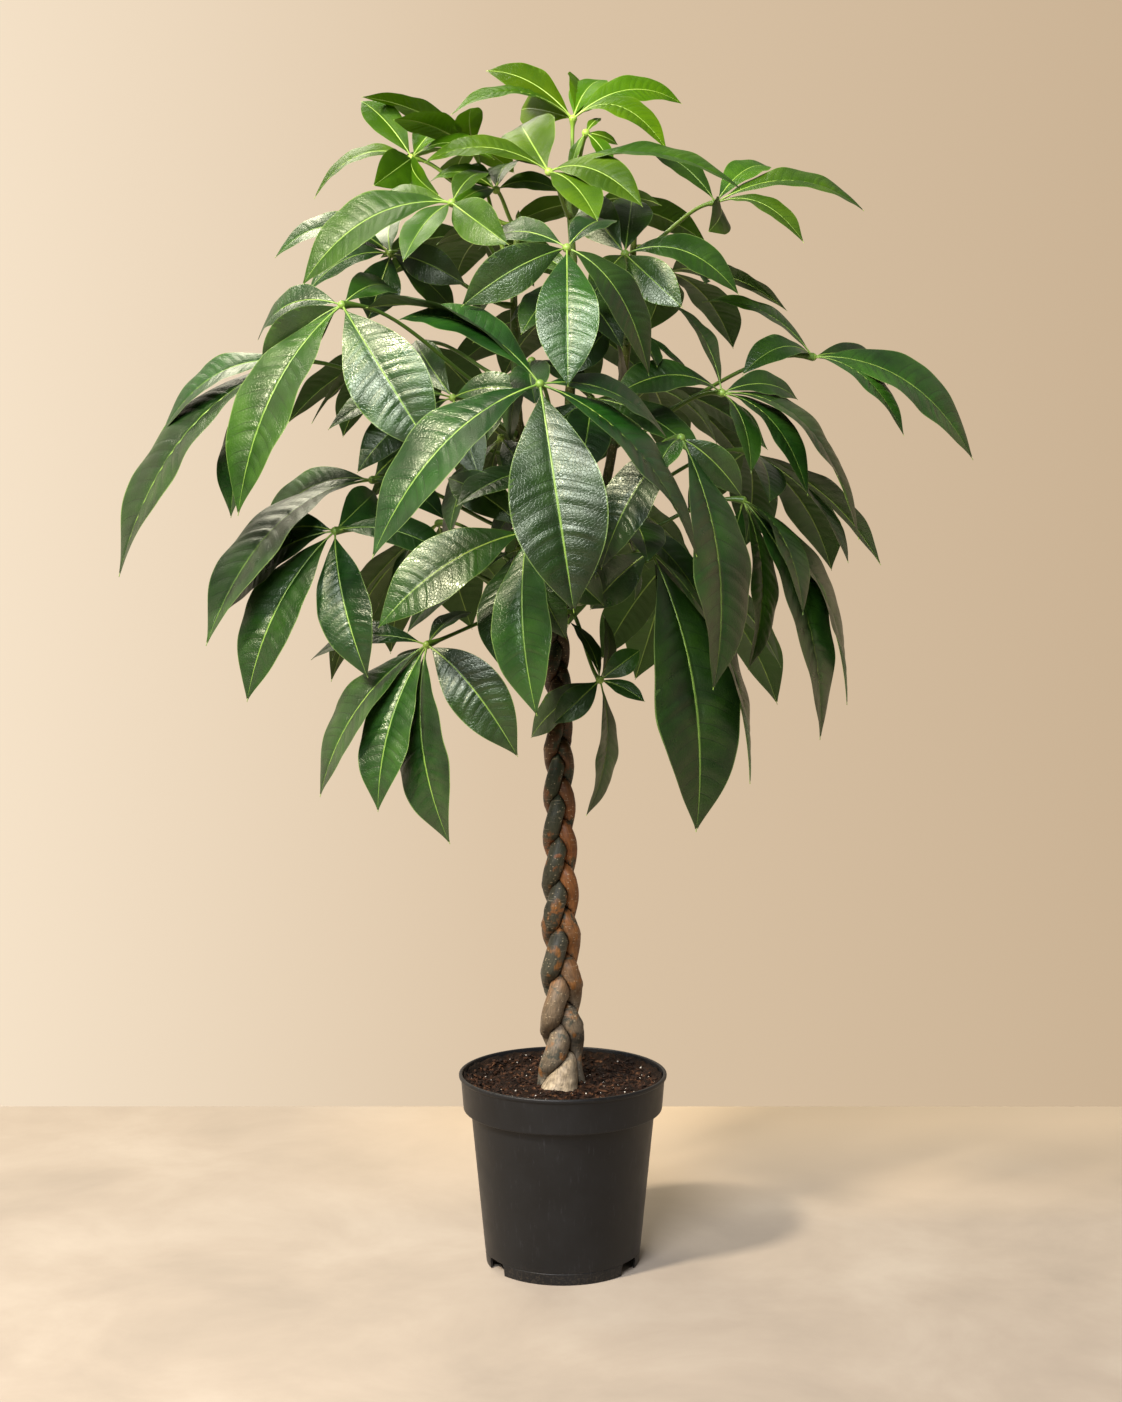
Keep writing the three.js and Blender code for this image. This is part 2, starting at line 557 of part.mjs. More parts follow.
// A leaf stalk: starts square to the stem at its swollen foot, arches out and ends in the hub
function stalkSolid(stem, jointHeight, hub, clear) {
  const centre = stemPlace(jointHeight, stem);
  const out = new THREE.Vector3(hub.x - centre.x, hub.y - centre.y, 0);
  const aside = out.length();
  const climb = Math.max(hub.z - jointHeight, 0);
  out.normalize();
  const radius = stemRadius(jointHeight, stem);
  const start = new THREE.Vector3(centre.x, centre.y, jointHeight).addScaledVector(out, radius + clear);
  const rising = start.clone().addScaledVector(out, Math.max(STALK_START * aside, STALK_START_LEAST));
  const hang = STALK_HANG * aside - STALK_CLIMB * climb * climb / Math.hypot(aside, climb);
  const arriving = hub.clone().addScaledVector(out, -STALK_ARRIVAL * aside).addScaledVector(UP, hang);
  const line = new THREE.CubicBezierCurve3(start, rising, arriving, hub);
  const rings = [];
  for (let step = 0; step <= STALK_STEPS; step += 1) {
    const along = step / STALK_STEPS;
    const way = line.getTangent(along);
    const across = way.clone().cross(UP).normalize();
    const over = across.clone().cross(way);
    const swollen = step === 0 ? STALK_END_RADIUS : HUB_RADIUS;
    const size = step % STALK_STEPS === 0 ? swollen : STALK_RADIUS;
    const centreHere = line.getPoint(along);
    if (step === STALK_STEPS) centreHere.addScaledVector(way, -HUB_RADIUS / 2);
    const ring = [];
    for (let side = 0; side < STALK_SIDES; side += 1) {
      const angle = side * 2 * Math.PI / STALK_SIDES;
      ring.push(centreHere.clone().addScaledVector(across, size * Math.cos(angle))
        .addScaledVector(over, size * Math.sin(angle)));
    }
    rings.push(ring);
  }
  const cap = hub.clone().addScaledVector(line.getTangent(1), HUB_RADIUS);
  return solidOf(skin(rings, start, cap));
}

// The hubs and blades of the leaves that are laid out by rule, low ones first
function ruledLeaves(rule, ruleIndex) {
  const { degToRad, lerp } = THREE.MathUtils;
  const leaves = [];
  for (let index = 0; index < rule.count; index += 1) {
    const rise = (index + 0.5) / rule.count;
    const yaw = degToRad(lerp(rule.yawFrom, rule.yawTo, (index * GOLDEN + FIRST_TURN) % 1));
    const reach = lerp(rule.widest, rule.narrowest, Math.abs(rise - WIDEST_AT) / (1 - WIDEST_AT));
    const size = lerp(SIZE_LOW, SIZE_HIGH, rise);
    const blades = [];
    for (let place = 0; place < rule.blades; place += 1) {
      const fan = 2 * place / (rule.blades - 1) - 1;
      const draw = chance(100 * ruleIndex + index * rule.blades + place + 1);
      blades.push({
        turn: fan * FAN,
        droop: DROOP_DRAW * (draw - 0.5),
        length: rule.bladeLength * size * (1 - FAN_SHORTENS * fan * fan) * (1 + LENGTH_DRAW * (draw - 0.5)),
      });
    }
    let stem = "middle";
    if (Math.cos(yaw) > SIDE_STEM_FROM) stem = "right";
    if (Math.cos(yaw) < -SIDE_STEM_FROM) stem = "left";
    leaves.push({
      name: `${rule.name}_${index + 1}`, stem, blades, yaw, leanOut: rule.leanOut,
      droop: degToRad(lerp(rule.droopLow, rule.droopHigh, rise)),
      place: new THREE.Vector3(reach * Math.cos(yaw), reach * Math.sin(yaw), lerp(rule.low, rule.high, rise)),
    });
  }
  return leaves;
}

// What stands already, so that each new stalk and blade is bent clear of it
const standing = [];

function stand(solid, owner) {
  standing.push({ solid, owner, box: solid.boundingBox() });
}

function isClear(solid, owner) {
  const box = solid.boundingBox();
  return standing.every((other) => {
    if (other.owner === owner) return true;
    for (let axis = 0; axis < 3; axis += 1) {
      if (box.min[axis] > other.box.max[axis] + LEAF_GAP) return true;
      if (box.max[axis] < other.box.min[axis] - LEAF_GAP) return true;
    }
    return solid.minGap(other.solid, LEAF_GAP) > LEAF_GAP * 0.99;
  });
}

// 0, -1, 1, -2, 2 and so on
function stepsOutward(count) {
  return Array.from({ length: 2 * count + 1 }, (unused, index) => (
    index % 2 ? -(index + 1) / 2 : index / 2));
}

// The strand with the front foot keeps its shape, and the others are pressed flat against it
const stems = {};
for (const strand of PRESSED_ORDER) {
  stems[strand] = makeStem(strand, 0);
  for (const other of Object.keys(stems)) {
    if (other === strand) continue;
    stems[strand] = stems[strand].subtract(makeStem(other, PRESS_GAP));
  }
  stems[strand] = stems[strand].simplify(STEM_EASE);
  stand(stems[strand], `stem_${strand}`);
}

function placeStalk(leaf) {
  const centre = stemPlace(leaf.place.z, leaf.stem);
  const aside = Math.hypot(leaf.place.x - centre.x, leaf.place.y - centre.y);
  const highest = stemTop(leaf.stem) - 2 * STEM_TIP_RADIUS;
  const wanted = THREE.MathUtils.clamp(
    leaf.place.z - STALK_DROP * aside, JOINT_LOWEST, highest - JOINT_BELOW_TOP);
  for (const step of stepsOutward(2 * TRIES)) {
    const jointHeight = wanted + step * JOINT_STEP;
    if (jointHeight > highest) continue;
    for (let clear = SEAT_DEEPEST; clear < SEAT_PROUDEST; clear += SEAT_STEP) {
      const solid = stalkSolid(leaf.stem, jointHeight, leaf.place, clear);
      if (isClear(solid, leaf.name)) return solid;
    }
  }
  throw new Error(`no room for the stalk of ${leaf.name}`);
}

function placeBlades(leaf, shape) {
  const placed = [];
  for (const blade of leaf.blades) {
    for (const moved of stepsOutward(TRIES)) {
      const solid = bladeSolid(shape(leaf, blade, moved));
      if (isClear(solid, leaf.name)) {
        placed.push(solid);
        stand(solid, leaf.name);
        break;
      }
    }
  }
  return placed;
}

const seenLeaves = LEAVES.map((leaf) => ({ ...leaf, place: seenAt(leaf.hub, leaf.hub[2]) }));
const leaves = [...seenLeaves, ...RULED_LEAVES.flatMap(ruledLeaves)];
for (const leaf of leaves) {
  leaf.stalk = placeStalk(leaf);
  stand(leaf.stalk, leaf.name);
}

const group = new THREE.Group();

function addPiece(name, solid, colour, roughness) {
  const material = new THREE.MeshStandardMaterial({ color: colour, roughness, metalness: 0 });
  const mesh = new THREE.Mesh(geometryOf(solid), material);
  mesh.name = name;
  group.add(mesh);
}

addPiece("pot", makePot(), COLOURS.pot, 0.45);
addPiece("potting_soil", makeSoil(makeHole()), COLOURS.potting_soil, 0.95);
for (const strand of STRANDS) addPiece(`stem_${strand}`, stems[strand], COLOURS[`stem_${strand}`], 0.8);
for (const leaf of leaves) {
  const shape = leaf.yaw === undefined ? seenBlade : ruledBlade;
  const solid = addAll([leaf.stalk, ...placeBlades(leaf, shape)]).simplify(LEAF_EASE);
  const youth = THREE.MathUtils.smoothstep(leaf.place.z, YOUNG_FROM, YOUNG_TO);
  const colour = new THREE.Color(COLOURS.grown).lerp(new THREE.Color(COLOURS.young), youth);
  addPiece(leaf.name, solid, colour, 0.4);
}

export default group;
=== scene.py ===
"""The looks of a money tree (Pachira) in a black nursery pot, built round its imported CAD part.

Metres, +Z up. The origin is the middle of the pot's underside, +X is to the right in the photograph
and +Y goes away from its camera. Everything rides on the one body, because the plant stands loose.
"""
import json
import math
import random

import bmesh
import bpy
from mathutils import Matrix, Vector, kdtree, noise

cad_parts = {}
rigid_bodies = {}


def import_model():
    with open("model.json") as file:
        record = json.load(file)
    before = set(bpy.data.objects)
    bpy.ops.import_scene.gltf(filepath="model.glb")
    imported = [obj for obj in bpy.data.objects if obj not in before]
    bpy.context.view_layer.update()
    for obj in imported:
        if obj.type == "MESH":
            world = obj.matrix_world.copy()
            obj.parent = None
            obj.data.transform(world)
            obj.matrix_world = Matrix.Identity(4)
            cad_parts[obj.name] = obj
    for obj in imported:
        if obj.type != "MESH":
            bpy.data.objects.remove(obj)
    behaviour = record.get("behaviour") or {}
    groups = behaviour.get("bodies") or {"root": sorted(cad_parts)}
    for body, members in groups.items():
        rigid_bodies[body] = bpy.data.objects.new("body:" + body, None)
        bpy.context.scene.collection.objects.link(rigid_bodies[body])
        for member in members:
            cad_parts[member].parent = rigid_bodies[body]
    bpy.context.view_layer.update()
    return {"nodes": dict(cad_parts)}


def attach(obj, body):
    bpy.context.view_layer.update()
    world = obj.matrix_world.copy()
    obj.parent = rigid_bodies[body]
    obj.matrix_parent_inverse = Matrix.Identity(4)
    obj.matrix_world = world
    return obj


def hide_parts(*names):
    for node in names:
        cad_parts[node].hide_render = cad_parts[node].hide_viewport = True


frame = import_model()
scene = bpy.context.scene

# Camera: stands where the photograph was taken from, level with the middle of the plant and tilted
# down a little. A pixel is worked out in the photograph's own frame of 1122 x 1402.
EYE = Vector((-0.0021, -2.2105, 0.807))
LENS_TILT = math.radians(4.1)
LENS_MM = 50
SENSOR_MM = 36
FOCAL_PIXELS = 1947.2
MIDDLE_ACROSS, MIDDLE_DOWN = 561, 701

camera_data = bpy.data.cameras.new("camera")
camera_data.lens = LENS_MM
camera_data.sensor_fit = "VERTICAL"
camera_data.sensor_height = SENSOR_MM
camera = bpy.data.objects.new("camera", camera_data)
camera.location = EYE
camera.rotation_euler = (math.radians(90) - LENS_TILT, 0, 0)
scene.collection.objects.link(camera)
scene.camera = camera

# Studio: a pale plaster floor that ends a little behind the plant, in a warm surround that is brightest
# behind it on the left and dim overhead and on the camera's side. A warm lamp stands high on the left, a
# broad cool one beside the camera gives the leaves their sheen, and one behind lights the top leaves.
WALL_LEFT = "#f8e5cb"
WALL_MIDDLE = "#dcc5a8"
WALL_RIGHT = "#c9b193"
ROOM = "#cfcac2"
CEILING = "#f2efe9"
ROOM_LIGHT = 0.20
CEILING_LIGHT = 0.27
FLOOR_BACK = 0.63
FLOOR_REACH = 5.0
LAMPS = [
    # name, place, aimed at, size in m, watts, colour
    ("key", (-2.2, -1.9, 3.1), (0, 0, 0.85), 0.4, 215, "#fff1dc"),
    ("window", (-0.8, -2.8, 2.7), (0, 0, 0.9), 1.4, 165, "#f8f9ff"),
    ("top", (-1.1, 1.5, 3.1), (0, 0, 1.0), 1.1, 50, "#fff6e0"),
]


def colour(code):
    """An sRGB hex code as the linear colour that Blender's sockets take."""
    shares = [int(code[start:start + 2], 16) / 255 for start in (1, 3, 5)]
    return [s / 12.92 if s <= 0.04045 else ((s + 0.055) / 1.055) ** 2.4 for s in shares] + [1]


def add_node(tree, kind, values=(), stops=(), **settings):
    """Adds a node, sets it up and fills its sockets, in order or by name. A value is a number, a vector,
    None for the node's own, a node for its first output, or (node, name) for another of its outputs. The
    stops of a colour ramp are (place, hex code)."""
    node = tree.nodes.new(kind)
    for name, setting in settings.items():
        setattr(node, name, setting)
    while stops and len(node.color_ramp.elements) < len(stops):
        node.color_ramp.elements.new(0.5)
    for stop, (place, code) in enumerate(stops):
        node.color_ramp.elements[stop].position = place
        node.color_ramp.elements[stop].color = colour(code)
    shown = [socket for socket in node.inputs if socket.enabled]
    for key, value in values.items() if isinstance(values, dict) else enumerate(values):
        socket = node.inputs[key] if isinstance(key, str) else shown[key]
        if isinstance(value, bpy.types.Node):
            tree.links.new(next(output for output in value.outputs if output.enabled), socket)
        elif isinstance(value, tuple) and isinstance(value[0], bpy.types.Node):
            tree.links.new(value[0].outputs[value[1]], socket)
        elif value is not None:
            socket.default_value = value
    return node


def start_material(name):
    """An empty node material and its tree."""
    material = bpy.data.materials.new(name)
    material.use_nodes = True
    material.node_tree.nodes.clear()
    return material, material.node_tree


def new_object(name, mesh):
    made = bpy.data.objects.new(name, mesh)
    scene.collection.objects.link(made)
    return made


def mesh_of(form, name):
    """A new mesh from a bmesh form, which is freed."""
    mesh = bpy.data.meshes.new(name)
    form.to_mesh(mesh)
    form.free()
    return mesh


for name, place, target, size, watts, code in LAMPS:
    lamp = bpy.data.lights.new(name, "AREA")
    lamp.size = size
    lamp.energy = watts
    lamp.color = colour(code)[:3]
    holder = bpy.data.objects.new(name, lamp)
    holder.location = place
    holder.rotation_euler = (Vector(target) - Vector(place)).to_track_quat("-Z", "Y").to_euler()
    scene.collection.objects.link(holder)

world = bpy.data.worlds.new("surround")
world.use_nodes = True
tree = world.node_tree
tree.nodes.clear()
way = add_node(tree, "ShaderNodeSeparateXYZ", [(add_node(tree, "ShaderNodeTexCoord"), "Generated")])
leftness = add_node(tree, "ShaderNodeMapRange", [(way, "X"), -0.30, 0.30, 0, 1])
wall_tone = add_node(tree, "ShaderNodeValToRGB", [leftness],
                     stops=[(0, WALL_LEFT), (0.45, WALL_MIDDLE), (1, WALL_RIGHT)])
farness = add_node(tree, "ShaderNodeMapRange", [(way, "Y"), -0.4, 0.3, 0, 1])
overhead = add_node(tree, "ShaderNodeMapRange", [(way, "Z"), 0.30, 0.75, 0, 1])
around = add_node(tree, "ShaderNodeMix", [farness, colour(ROOM), wall_tone], data_type="RGBA")
tone = add_node(tree, "ShaderNodeMix", [overhead, around, colour(CEILING)], data_type="RGBA")
low_strength = add_node(tree, "ShaderNodeMix", [farness, ROOM_LIGHT, 1.0], data_type="FLOAT")
strength = add_node(tree, "ShaderNodeMix", [overhead, low_strength, CEILING_LIGHT], data_type="FLOAT")
background = add_node(tree, "ShaderNodeBackground", [tone, strength])
add_node(tree, "ShaderNodeOutputWorld", [background])
scene.world = world
scene.view_settings.view_transform = "Standard"

floor_form = bmesh.new()
floor_corners = [(-FLOOR_REACH, -FLOOR_REACH), (FLOOR_REACH, -FLOOR_REACH),
                 (FLOOR_REACH, FLOOR_BACK), (-FLOOR_REACH, FLOOR_BACK)]
floor_form.faces.new([floor_form.verts.new((*corner, 0)) for corner in floor_corners])
floor_mesh = mesh_of(floor_form, "floor")
floor = new_object("floor", floor_mesh)

# Trowelled plaster: matt and faintly clouded, with painted light that makes it paler towards the back on the
# right, where the crown's shadow and the lamps' falloff would darken it.
floor_plaster, tree = start_material("trowelled_plaster")
place = add_node(tree, "ShaderNodeTexCoord")
cloud = add_node(tree, "ShaderNodeTexNoise",
                 {"Vector": (place, "Object"), "Scale": 4, "Detail": 7, "Roughness": 0.6, "Distortion": 0.3})
tone = add_node(tree, "ShaderNodeValToRGB", [cloud],
                stops=[(0.3, "#988d80"), (0.5, "#a39789"), (0.7, "#ada294")])
spot = add_node(tree, "ShaderNodeSeparateXYZ", [(place, "Object")])
# Painted light: the base colour is mixed paler towards the back right, lifting the shadow that falls there.
backward = add_node(tree, "ShaderNodeMapRange", [(spot, "Y"), 0.12, 0.55, 0, 1])
rightward = add_node(tree, "ShaderNodeMapRange", [(spot, "X"), -0.4, 0.2, 0.1, 1])
painted_light_share = add_node(tree, "ShaderNodeMath", [backward, rightward], operation="MULTIPLY")
painted_light_tone = add_node(tree, "ShaderNodeMix", [painted_light_share, tone, colour("#dac4a6")], data_type="RGBA")
shader = add_node(tree, "ShaderNodeBsdfPrincipled", {"Base Color": painted_light_tone, "Roughness": 0.75})
add_node(tree, "ShaderNodeOutputMaterial", [shader])
floor_mesh.materials.append(floor_plaster)

# Pot: one injection-moulded nursery pot of black polypropylene, with a rolled lip, a collar band, a
# tapered body and a skirt with four notches. It stands by itself and everything else stands in it.
POT_SEGMENTS = 176
SMOOTH_UP_TO = math.radians(32)
RIM_RADIUS = 0.120
RIM_TOP = 0.220
BAND_RADIUS_LOW = 0.1145
BAND_LOW = 0.178
BAND_STEP = 0.004
BODY_RADIUS_HIGH = 0.106
FOOT_RADIUS = 0.0885
POT_WALL = 0.0026
LIP_ROLL = 0.004
LIP_PROUD = 0.0026
LIP_SPREAD = 0.0015
FLOOR_LOW = 0.014
FLOOR_TOP = 0.017
CENTRE_FOOT_RADIUS = 0.018
CENTRE_FOOT_INTO_FLOOR = 0.001
CENTRE_FOOT_SEGMENTS = 48
NOTCH_ANGLES = [math.radians(angle) for angle in (-122, -58, 58, 122)]
NOTCH_WIDTH = 0.030
NOTCH_DEPTH = 0.030
NOTCH_ROUND = 0.005
DRAIN_RADIUS = 0.007
DRAIN_CIRCLE = 0.058
DRAIN_CUT_TOP = 0.021
DRAIN_SEGMENTS = 28
SEAM_HEIGHT = 0.0135
SEAM_DEPTH = 0.0005
SEAM_HALF_WIDTH = 0.0006


def mix(low, high, share):
    """The value that lies a share of the way from low to high."""
    return low + (high - low) * share


def body_radius(height):
    """The outer radius of the pot's tapered body."""
    return mix(FOOT_RADIUS, BODY_RADIUS_HIGH, height / BAND_LOW)


def rounded(corners, steps=5):
    """A profile of (radius, height) whose corners, given as (radius, height, rounding), are rounded off."""
    points = []
    for index, (radius, height, rounding) in enumerate(corners):
        here = Vector((radius, height))
        if rounding == 0:
            points.append(here)
            continue
        before = Vector(corners[index - 1][:2]) - here
        after = Vector(corners[(index + 1) % len(corners)][:2]) - here
        cut = min(rounding, before.length / 2, after.length / 2)
        start = here + before.normalized() * cut
        end = here + after.normalized() * cut
        for step in range(steps + 1):
            share = step / steps
            points.append(start.lerp(here, share).lerp(here.lerp(end, share), share))
    return points


def turned_mesh(name, profile, segments):
    """A closed mesh turned from a profile that starts and ends on the axis."""
    form = bmesh.new()
    rings = []
    for radius, height in profile:
        count = segments if radius > 1e-6 else 1
        angles = [2 * math.pi * side / segments for side in range(count)]
        rings.append([form.verts.new((radius * math.sin(a), -radius * math.cos(a), height)) for a in angles])
    for low, high in zip(rings, rings[1:]):
        for side in range(segments):
            following = (side + 1) % segments
            corners = [low[side % len(low)], low[following % len(low)],
                       high[following % len(high)], high[side % len(high)]]
            unique = list(dict.fromkeys(corners))
            if len(unique) > 2:
                form.faces.new(unique)
    bmesh.ops.recalc_face_normals(form, faces=form.faces)
    return mesh_of(form, name)


def plain_mesh_of(holder):
    """What an object's modifiers give, as a new mesh."""
    holder.update_tag()
    bpy.context.view_layer.update()
    shown = holder.evaluated_get(bpy.context.evaluated_depsgraph_get())
    return bpy.data.meshes.new_from_object(shown)


def finish_piece(piece, node):
    """Rides on the one body and stands for its CAD node, which it hides."""
    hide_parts(node)
    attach(piece, "root")


pot_profile = rounded([
    (0, FLOOR_LOW, 0), (body_radius(FLOOR_LOW) - POT_WALL, FLOOR_LOW, 0.002),
    (FOOT_RADIUS - POT_WALL, 0, 0.0006), (FOOT_RADIUS, 0, 0.0009),
    (body_radius(SEAM_HEIGHT) - 0.0001, SEAM_HEIGHT - SEAM_HALF_WIDTH, 0.0003),
    (body_radius(SEAM_HEIGHT) - SEAM_DEPTH, SEAM_HEIGHT, 0.0003),
    (body_radius(SEAM_HEIGHT) + 0.0001, SEAM_HEIGHT + SEAM_HALF_WIDTH, 0.0003),
    (BODY_RADIUS_HIGH - 0.0001, BAND_LOW - 0.0004, 0.0025), (BAND_RADIUS_LOW, BAND_LOW + 0.0006, 0.0018),
    (RIM_RADIUS - LIP_PROUD, RIM_TOP - LIP_ROLL - 0.0012, 0.0012),
    (RIM_RADIUS - 0.0004, RIM_TOP - LIP_ROLL - 0.0004, 0.0012),
    (RIM_RADIUS, RIM_TOP - 0.0004, 0.0022), (RIM_RADIUS - POT_WALL - LIP_SPREAD, RIM_TOP, 0.0016),
    (BAND_RADIUS_LOW - POT_WALL, BAND_LOW + BAND_STEP, 0.0015),
    (BODY_RADIUS_HIGH - POT_WALL, BAND_LOW + BAND_STEP / 2, 0.0015),
    (body_radius(FLOOR_TOP) - POT_WALL, FLOOR_TOP, 0.003), (0, FLOOR_TOP, 0),
])
pot_work = new_object("pot_work", turned_mesh("pot_work", pot_profile, POT_SEGMENTS))


def add_cutter(name, outline, centre, way, depth):
    """A prism whose outline of (aside, up) points is pushed along a level way, to be cut from the pot."""
    form = bmesh.new()
    aside = Vector((-way.y, way.x, 0))
    ends = []
    for side in (-0.5, 0.5):
        middle = centre + way * depth * side
        ends.append([form.verts.new(middle + aside * across + Vector((0, 0, up))) for across, up in outline])
    form.faces.new(ends[0])
    form.faces.new(list(reversed(ends[1])))
    for index in range(len(outline)):
        following = (index + 1) % len(outline)
        form.faces.new([ends[0][index], ends[1][index], ends[1][following], ends[0][following]])
    bmesh.ops.recalc_face_normals(form, faces=form.faces)
    cutter = new_object(name, mesh_of(form, name))
    cutter.hide_render = True
    return cutter


half_notch = NOTCH_WIDTH / 2
notch_outline = rounded([
    (-half_notch, -FLOOR_LOW, 0), (half_notch, -FLOOR_LOW, 0),
    (half_notch, FLOOR_LOW, NOTCH_ROUND), (-half_notch, FLOOR_LOW, NOTCH_ROUND),
])
cutters = []
for index, angle in enumerate(NOTCH_ANGLES):
    way = Vector((math.sin(angle), -math.cos(angle), 0))
    cutters.append(add_cutter(f"notch_{index}", notch_outline, way * FOOT_RADIUS, way, NOTCH_DEPTH))
    drain_profile = [(0, 0), (DRAIN_RADIUS, 0), (DRAIN_RADIUS, DRAIN_CUT_TOP), (0, DRAIN_CUT_TOP)]
    drain_mesh = turned_mesh("drain", drain_profile, DRAIN_SEGMENTS)
    for vertex in drain_mesh.vertices:
        vertex.co += way * DRAIN_CIRCLE
    cutters.append(new_object(f"drain_{index}", drain_mesh))
for cutter in cutters:
    cut = pot_work.modifiers.new(cutter.name, "BOOLEAN")
    cut.operation = "DIFFERENCE"
    cut.solver = "EXACT"
    cut.object = cutter
centre_foot_top = FLOOR_LOW + CENTRE_FOOT_INTO_FLOOR
centre_foot_profile = rounded([
    (0, 0, 0), (CENTRE_FOOT_RADIUS, 0, 0.0012), (CENTRE_FOOT_RADIUS, centre_foot_top, 0),
    (0, centre_foot_top, 0)])
centre_foot = new_object("centre_foot", turned_mesh("centre_foot", centre_foot_profile, CENTRE_FOOT_SEGMENTS))
join = pot_work.modifiers.new("centre_foot", "BOOLEAN")
join.operation = "UNION"
join.solver = "EXACT"
join.object = centre_foot
pot_mesh = plain_mesh_of(pot_work)
pot_mesh.name = "pot_shown"
for helper in [pot_work, centre_foot, *cutters]:
    bpy.data.objects.remove(helper)
pot_mesh.shade_smooth()
pot_mesh.set_sharp_from_angle(angle=SMOOTH_UP_TO)
pot = new_object("nursery_pot", pot_mesh)

# Moulded polypropylene: nearly black, satin rather than shiny, with the faint clouding of a part that
# left its mould, upright scuffs from being stacked, and a little dust at the foot.
pot_plastic, tree = start_material("moulded_black_polypropylene")
place = add_node(tree, "ShaderNodeTexCoord")
height = (add_node(tree, "ShaderNodeSeparateXYZ", [(place, "Object")]), "Z")
cloud = add_node(tree, "ShaderNodeTexNoise",
                 {"Vector": (place, "Object"), "Scale": 1 / 0.045, "Detail": 5, "Roughness": 0.6})
streaked = add_node(tree, "ShaderNodeMapping", {"Vector": (place, "Object"), "Scale": (1, 1, 0.12)})
scuffs = add_node(tree, "ShaderNodeTexNoise",
                  {"Vector": streaked, "Scale": 1 / 0.0035, "Detail": 3, "Roughness": 0.7})
scuff_mask = add_node(tree, "ShaderNodeMapRange", [scuffs, 0.60, 0.76, 0, 0.5])
specks = add_node(tree, "ShaderNodeTexNoise",
                  {"Vector": (place, "Object"), "Scale": 1 / 0.0024, "Detail": 2})
near_foot = add_node(tree, "ShaderNodeMapRange", [height, 0.0, 0.020, 1, 0])
dust_share = add_node(tree, "ShaderNodeMapRange", [specks, 0.5, 0.75, 0, 0.3])
dust = add_node(tree, "ShaderNodeMath", [near_foot, dust_share], operation="MULTIPLY")
body_tone = add_node(tree, "ShaderNodeValToRGB", [cloud], stops=[(0.3, "#0c0d0f"), (0.72, "#151618")])
scuffed = add_node(tree, "ShaderNodeMix", [scuff_mask, body_tone, colour("#303135")], data_type="RGBA")
dusted = add_node(tree, "ShaderNodeMix", [dust, scuffed, colour("#6e6252")], data_type="RGBA")
satin = add_node(tree, "ShaderNodeMapRange", [cloud, 0.3, 0.75, 0.40, 0.54])
skin_grain = add_node(tree, "ShaderNodeTexNoise",
                      {"Vector": (place, "Object"), "Scale": 1 / 0.0009, "Detail": 2})
grain_bump = add_node(tree, "ShaderNodeBump", {"Height": skin_grain, "Strength": 0.10, "Distance": 0.0003})
waves = add_node(tree, "ShaderNodeTexNoise", {"Vector": streaked, "Scale": 1 / 0.016, "Detail": 1})
wave_bump = add_node(tree, "ShaderNodeBump",
                     {"Height": waves, "Strength": 0.25, "Distance": 0.0006, "Normal": grain_bump})
shader = add_node(tree, "ShaderNodeBsdfPrincipled",
                  {"Base Color": dusted, "Roughness": satin, "IOR": 1.49, "Specular IOR Level": 0.35,
                   "Normal": wave_bump})
add_node(tree, "ShaderNodeOutputMaterial", [shader])
pot_mesh.materials.clear()
pot_mesh.materials.append(pot_plastic)
finish_piece(pot, "pot")

# Trunks: three young money tree trunks, plaited by the grower from the soil up to 0.7 m and each going
# its own way above. They grew pressed flat against each other and stand in the soil by their own roots.
MM = 0.001
SOIL_TOP = 0.203
PLAIT_ACROSS = 0.0113
PLAIT_DEEP = 0.011
LEFT_IN_FRONT = 0.006
TRUNK_RADIUS = 0.0108
TAPER_AT_SOIL = 1.22
TAPER_LOSS = 1.15
TAPER_LEAST = 0.5
FOOT_FLARE = 0.2
FRONT_FOOT_FLARE = 1.0
FOOT_HEIGHT = 0.016
TURN_AT_SOIL = 0.184
TURN_LOSS = 0.12
FIRST_NOTCH = 0.2545
SLOW_TO_RIGHT = 0.3
PLAIT_LEAN = -0.012
PRESS_GAP = 0.00065
BURIED_TO = 0.150
PLAIT_LOW = 0.198
PLAIT_TOP = 0.700
PARTED_AT = 0.800
STRANDS = ["left", "middle", "right"]
FEET = {"left": (-0.015, -0.002), "middle": (0.0125, 0.005), "right": (-0.005, -0.020)}
FRONT_STRAND = "right"
FEET_END = 0.200
PLAIT_START = 0.250
STEM_ROUTES = {
    "left": [(-24, 8, 800), (-44, 14, 900), (-53, 10, 1010), (-55, 6, 1110), (-50, 14, 1195)],
    "middle": [(0, -16, 800), (4, -24, 900), (9, -20, 1020), (12, -6, 1130), (4, 10, 1235)],
    "right": [(26, 10, 800), (50, 16, 900), (68, 10, 1010), (76, 6, 1090), (80, 12, 1170)],
}
STEM_TIP_RADIUS = 0.0032
STEM_THINS_OVER = 0.260
PALE_ROOT_ENDS = (0.232, 0.262)
FIRST_SCAR = 0.225
SCARS_APART = (0.016, 0.034)
SCAR_REACH = 0.014
SCAR_RIDGE = 0.00055
SCAR_RIDGE_HEIGHT = 0.0016
SCAR_KNOB = 0.0011
SCAR_KNOB_HEIGHT = 0.0042
SCAR_KNOB_ABOVE = 0.004
BARK_LUMPS = 0.00055
BARK_FURROWS = 0.00022
BARK_GRAIN = 0.00010
PRESSED_FROM, PRESSED_AT = -0.0012, 0.0002
BARK_SIDES = 36
BARK_STEP = 0.0024
BARK_GIRTH = 0.060


def smoothstep(value, low, high):
    """0 up to low, 1 from high on, and a smooth rise between them."""
    share = min(max((value - low) / (high - low), 0), 1)
    return share * share * (3 - 2 * share)


def taper_at(height):
    """How thick the plait is at a height, as a share of its plain size."""
    return max(TAPER_LEAST, TAPER_AT_SOIL - TAPER_LOSS * (height - SOIL_TOP))


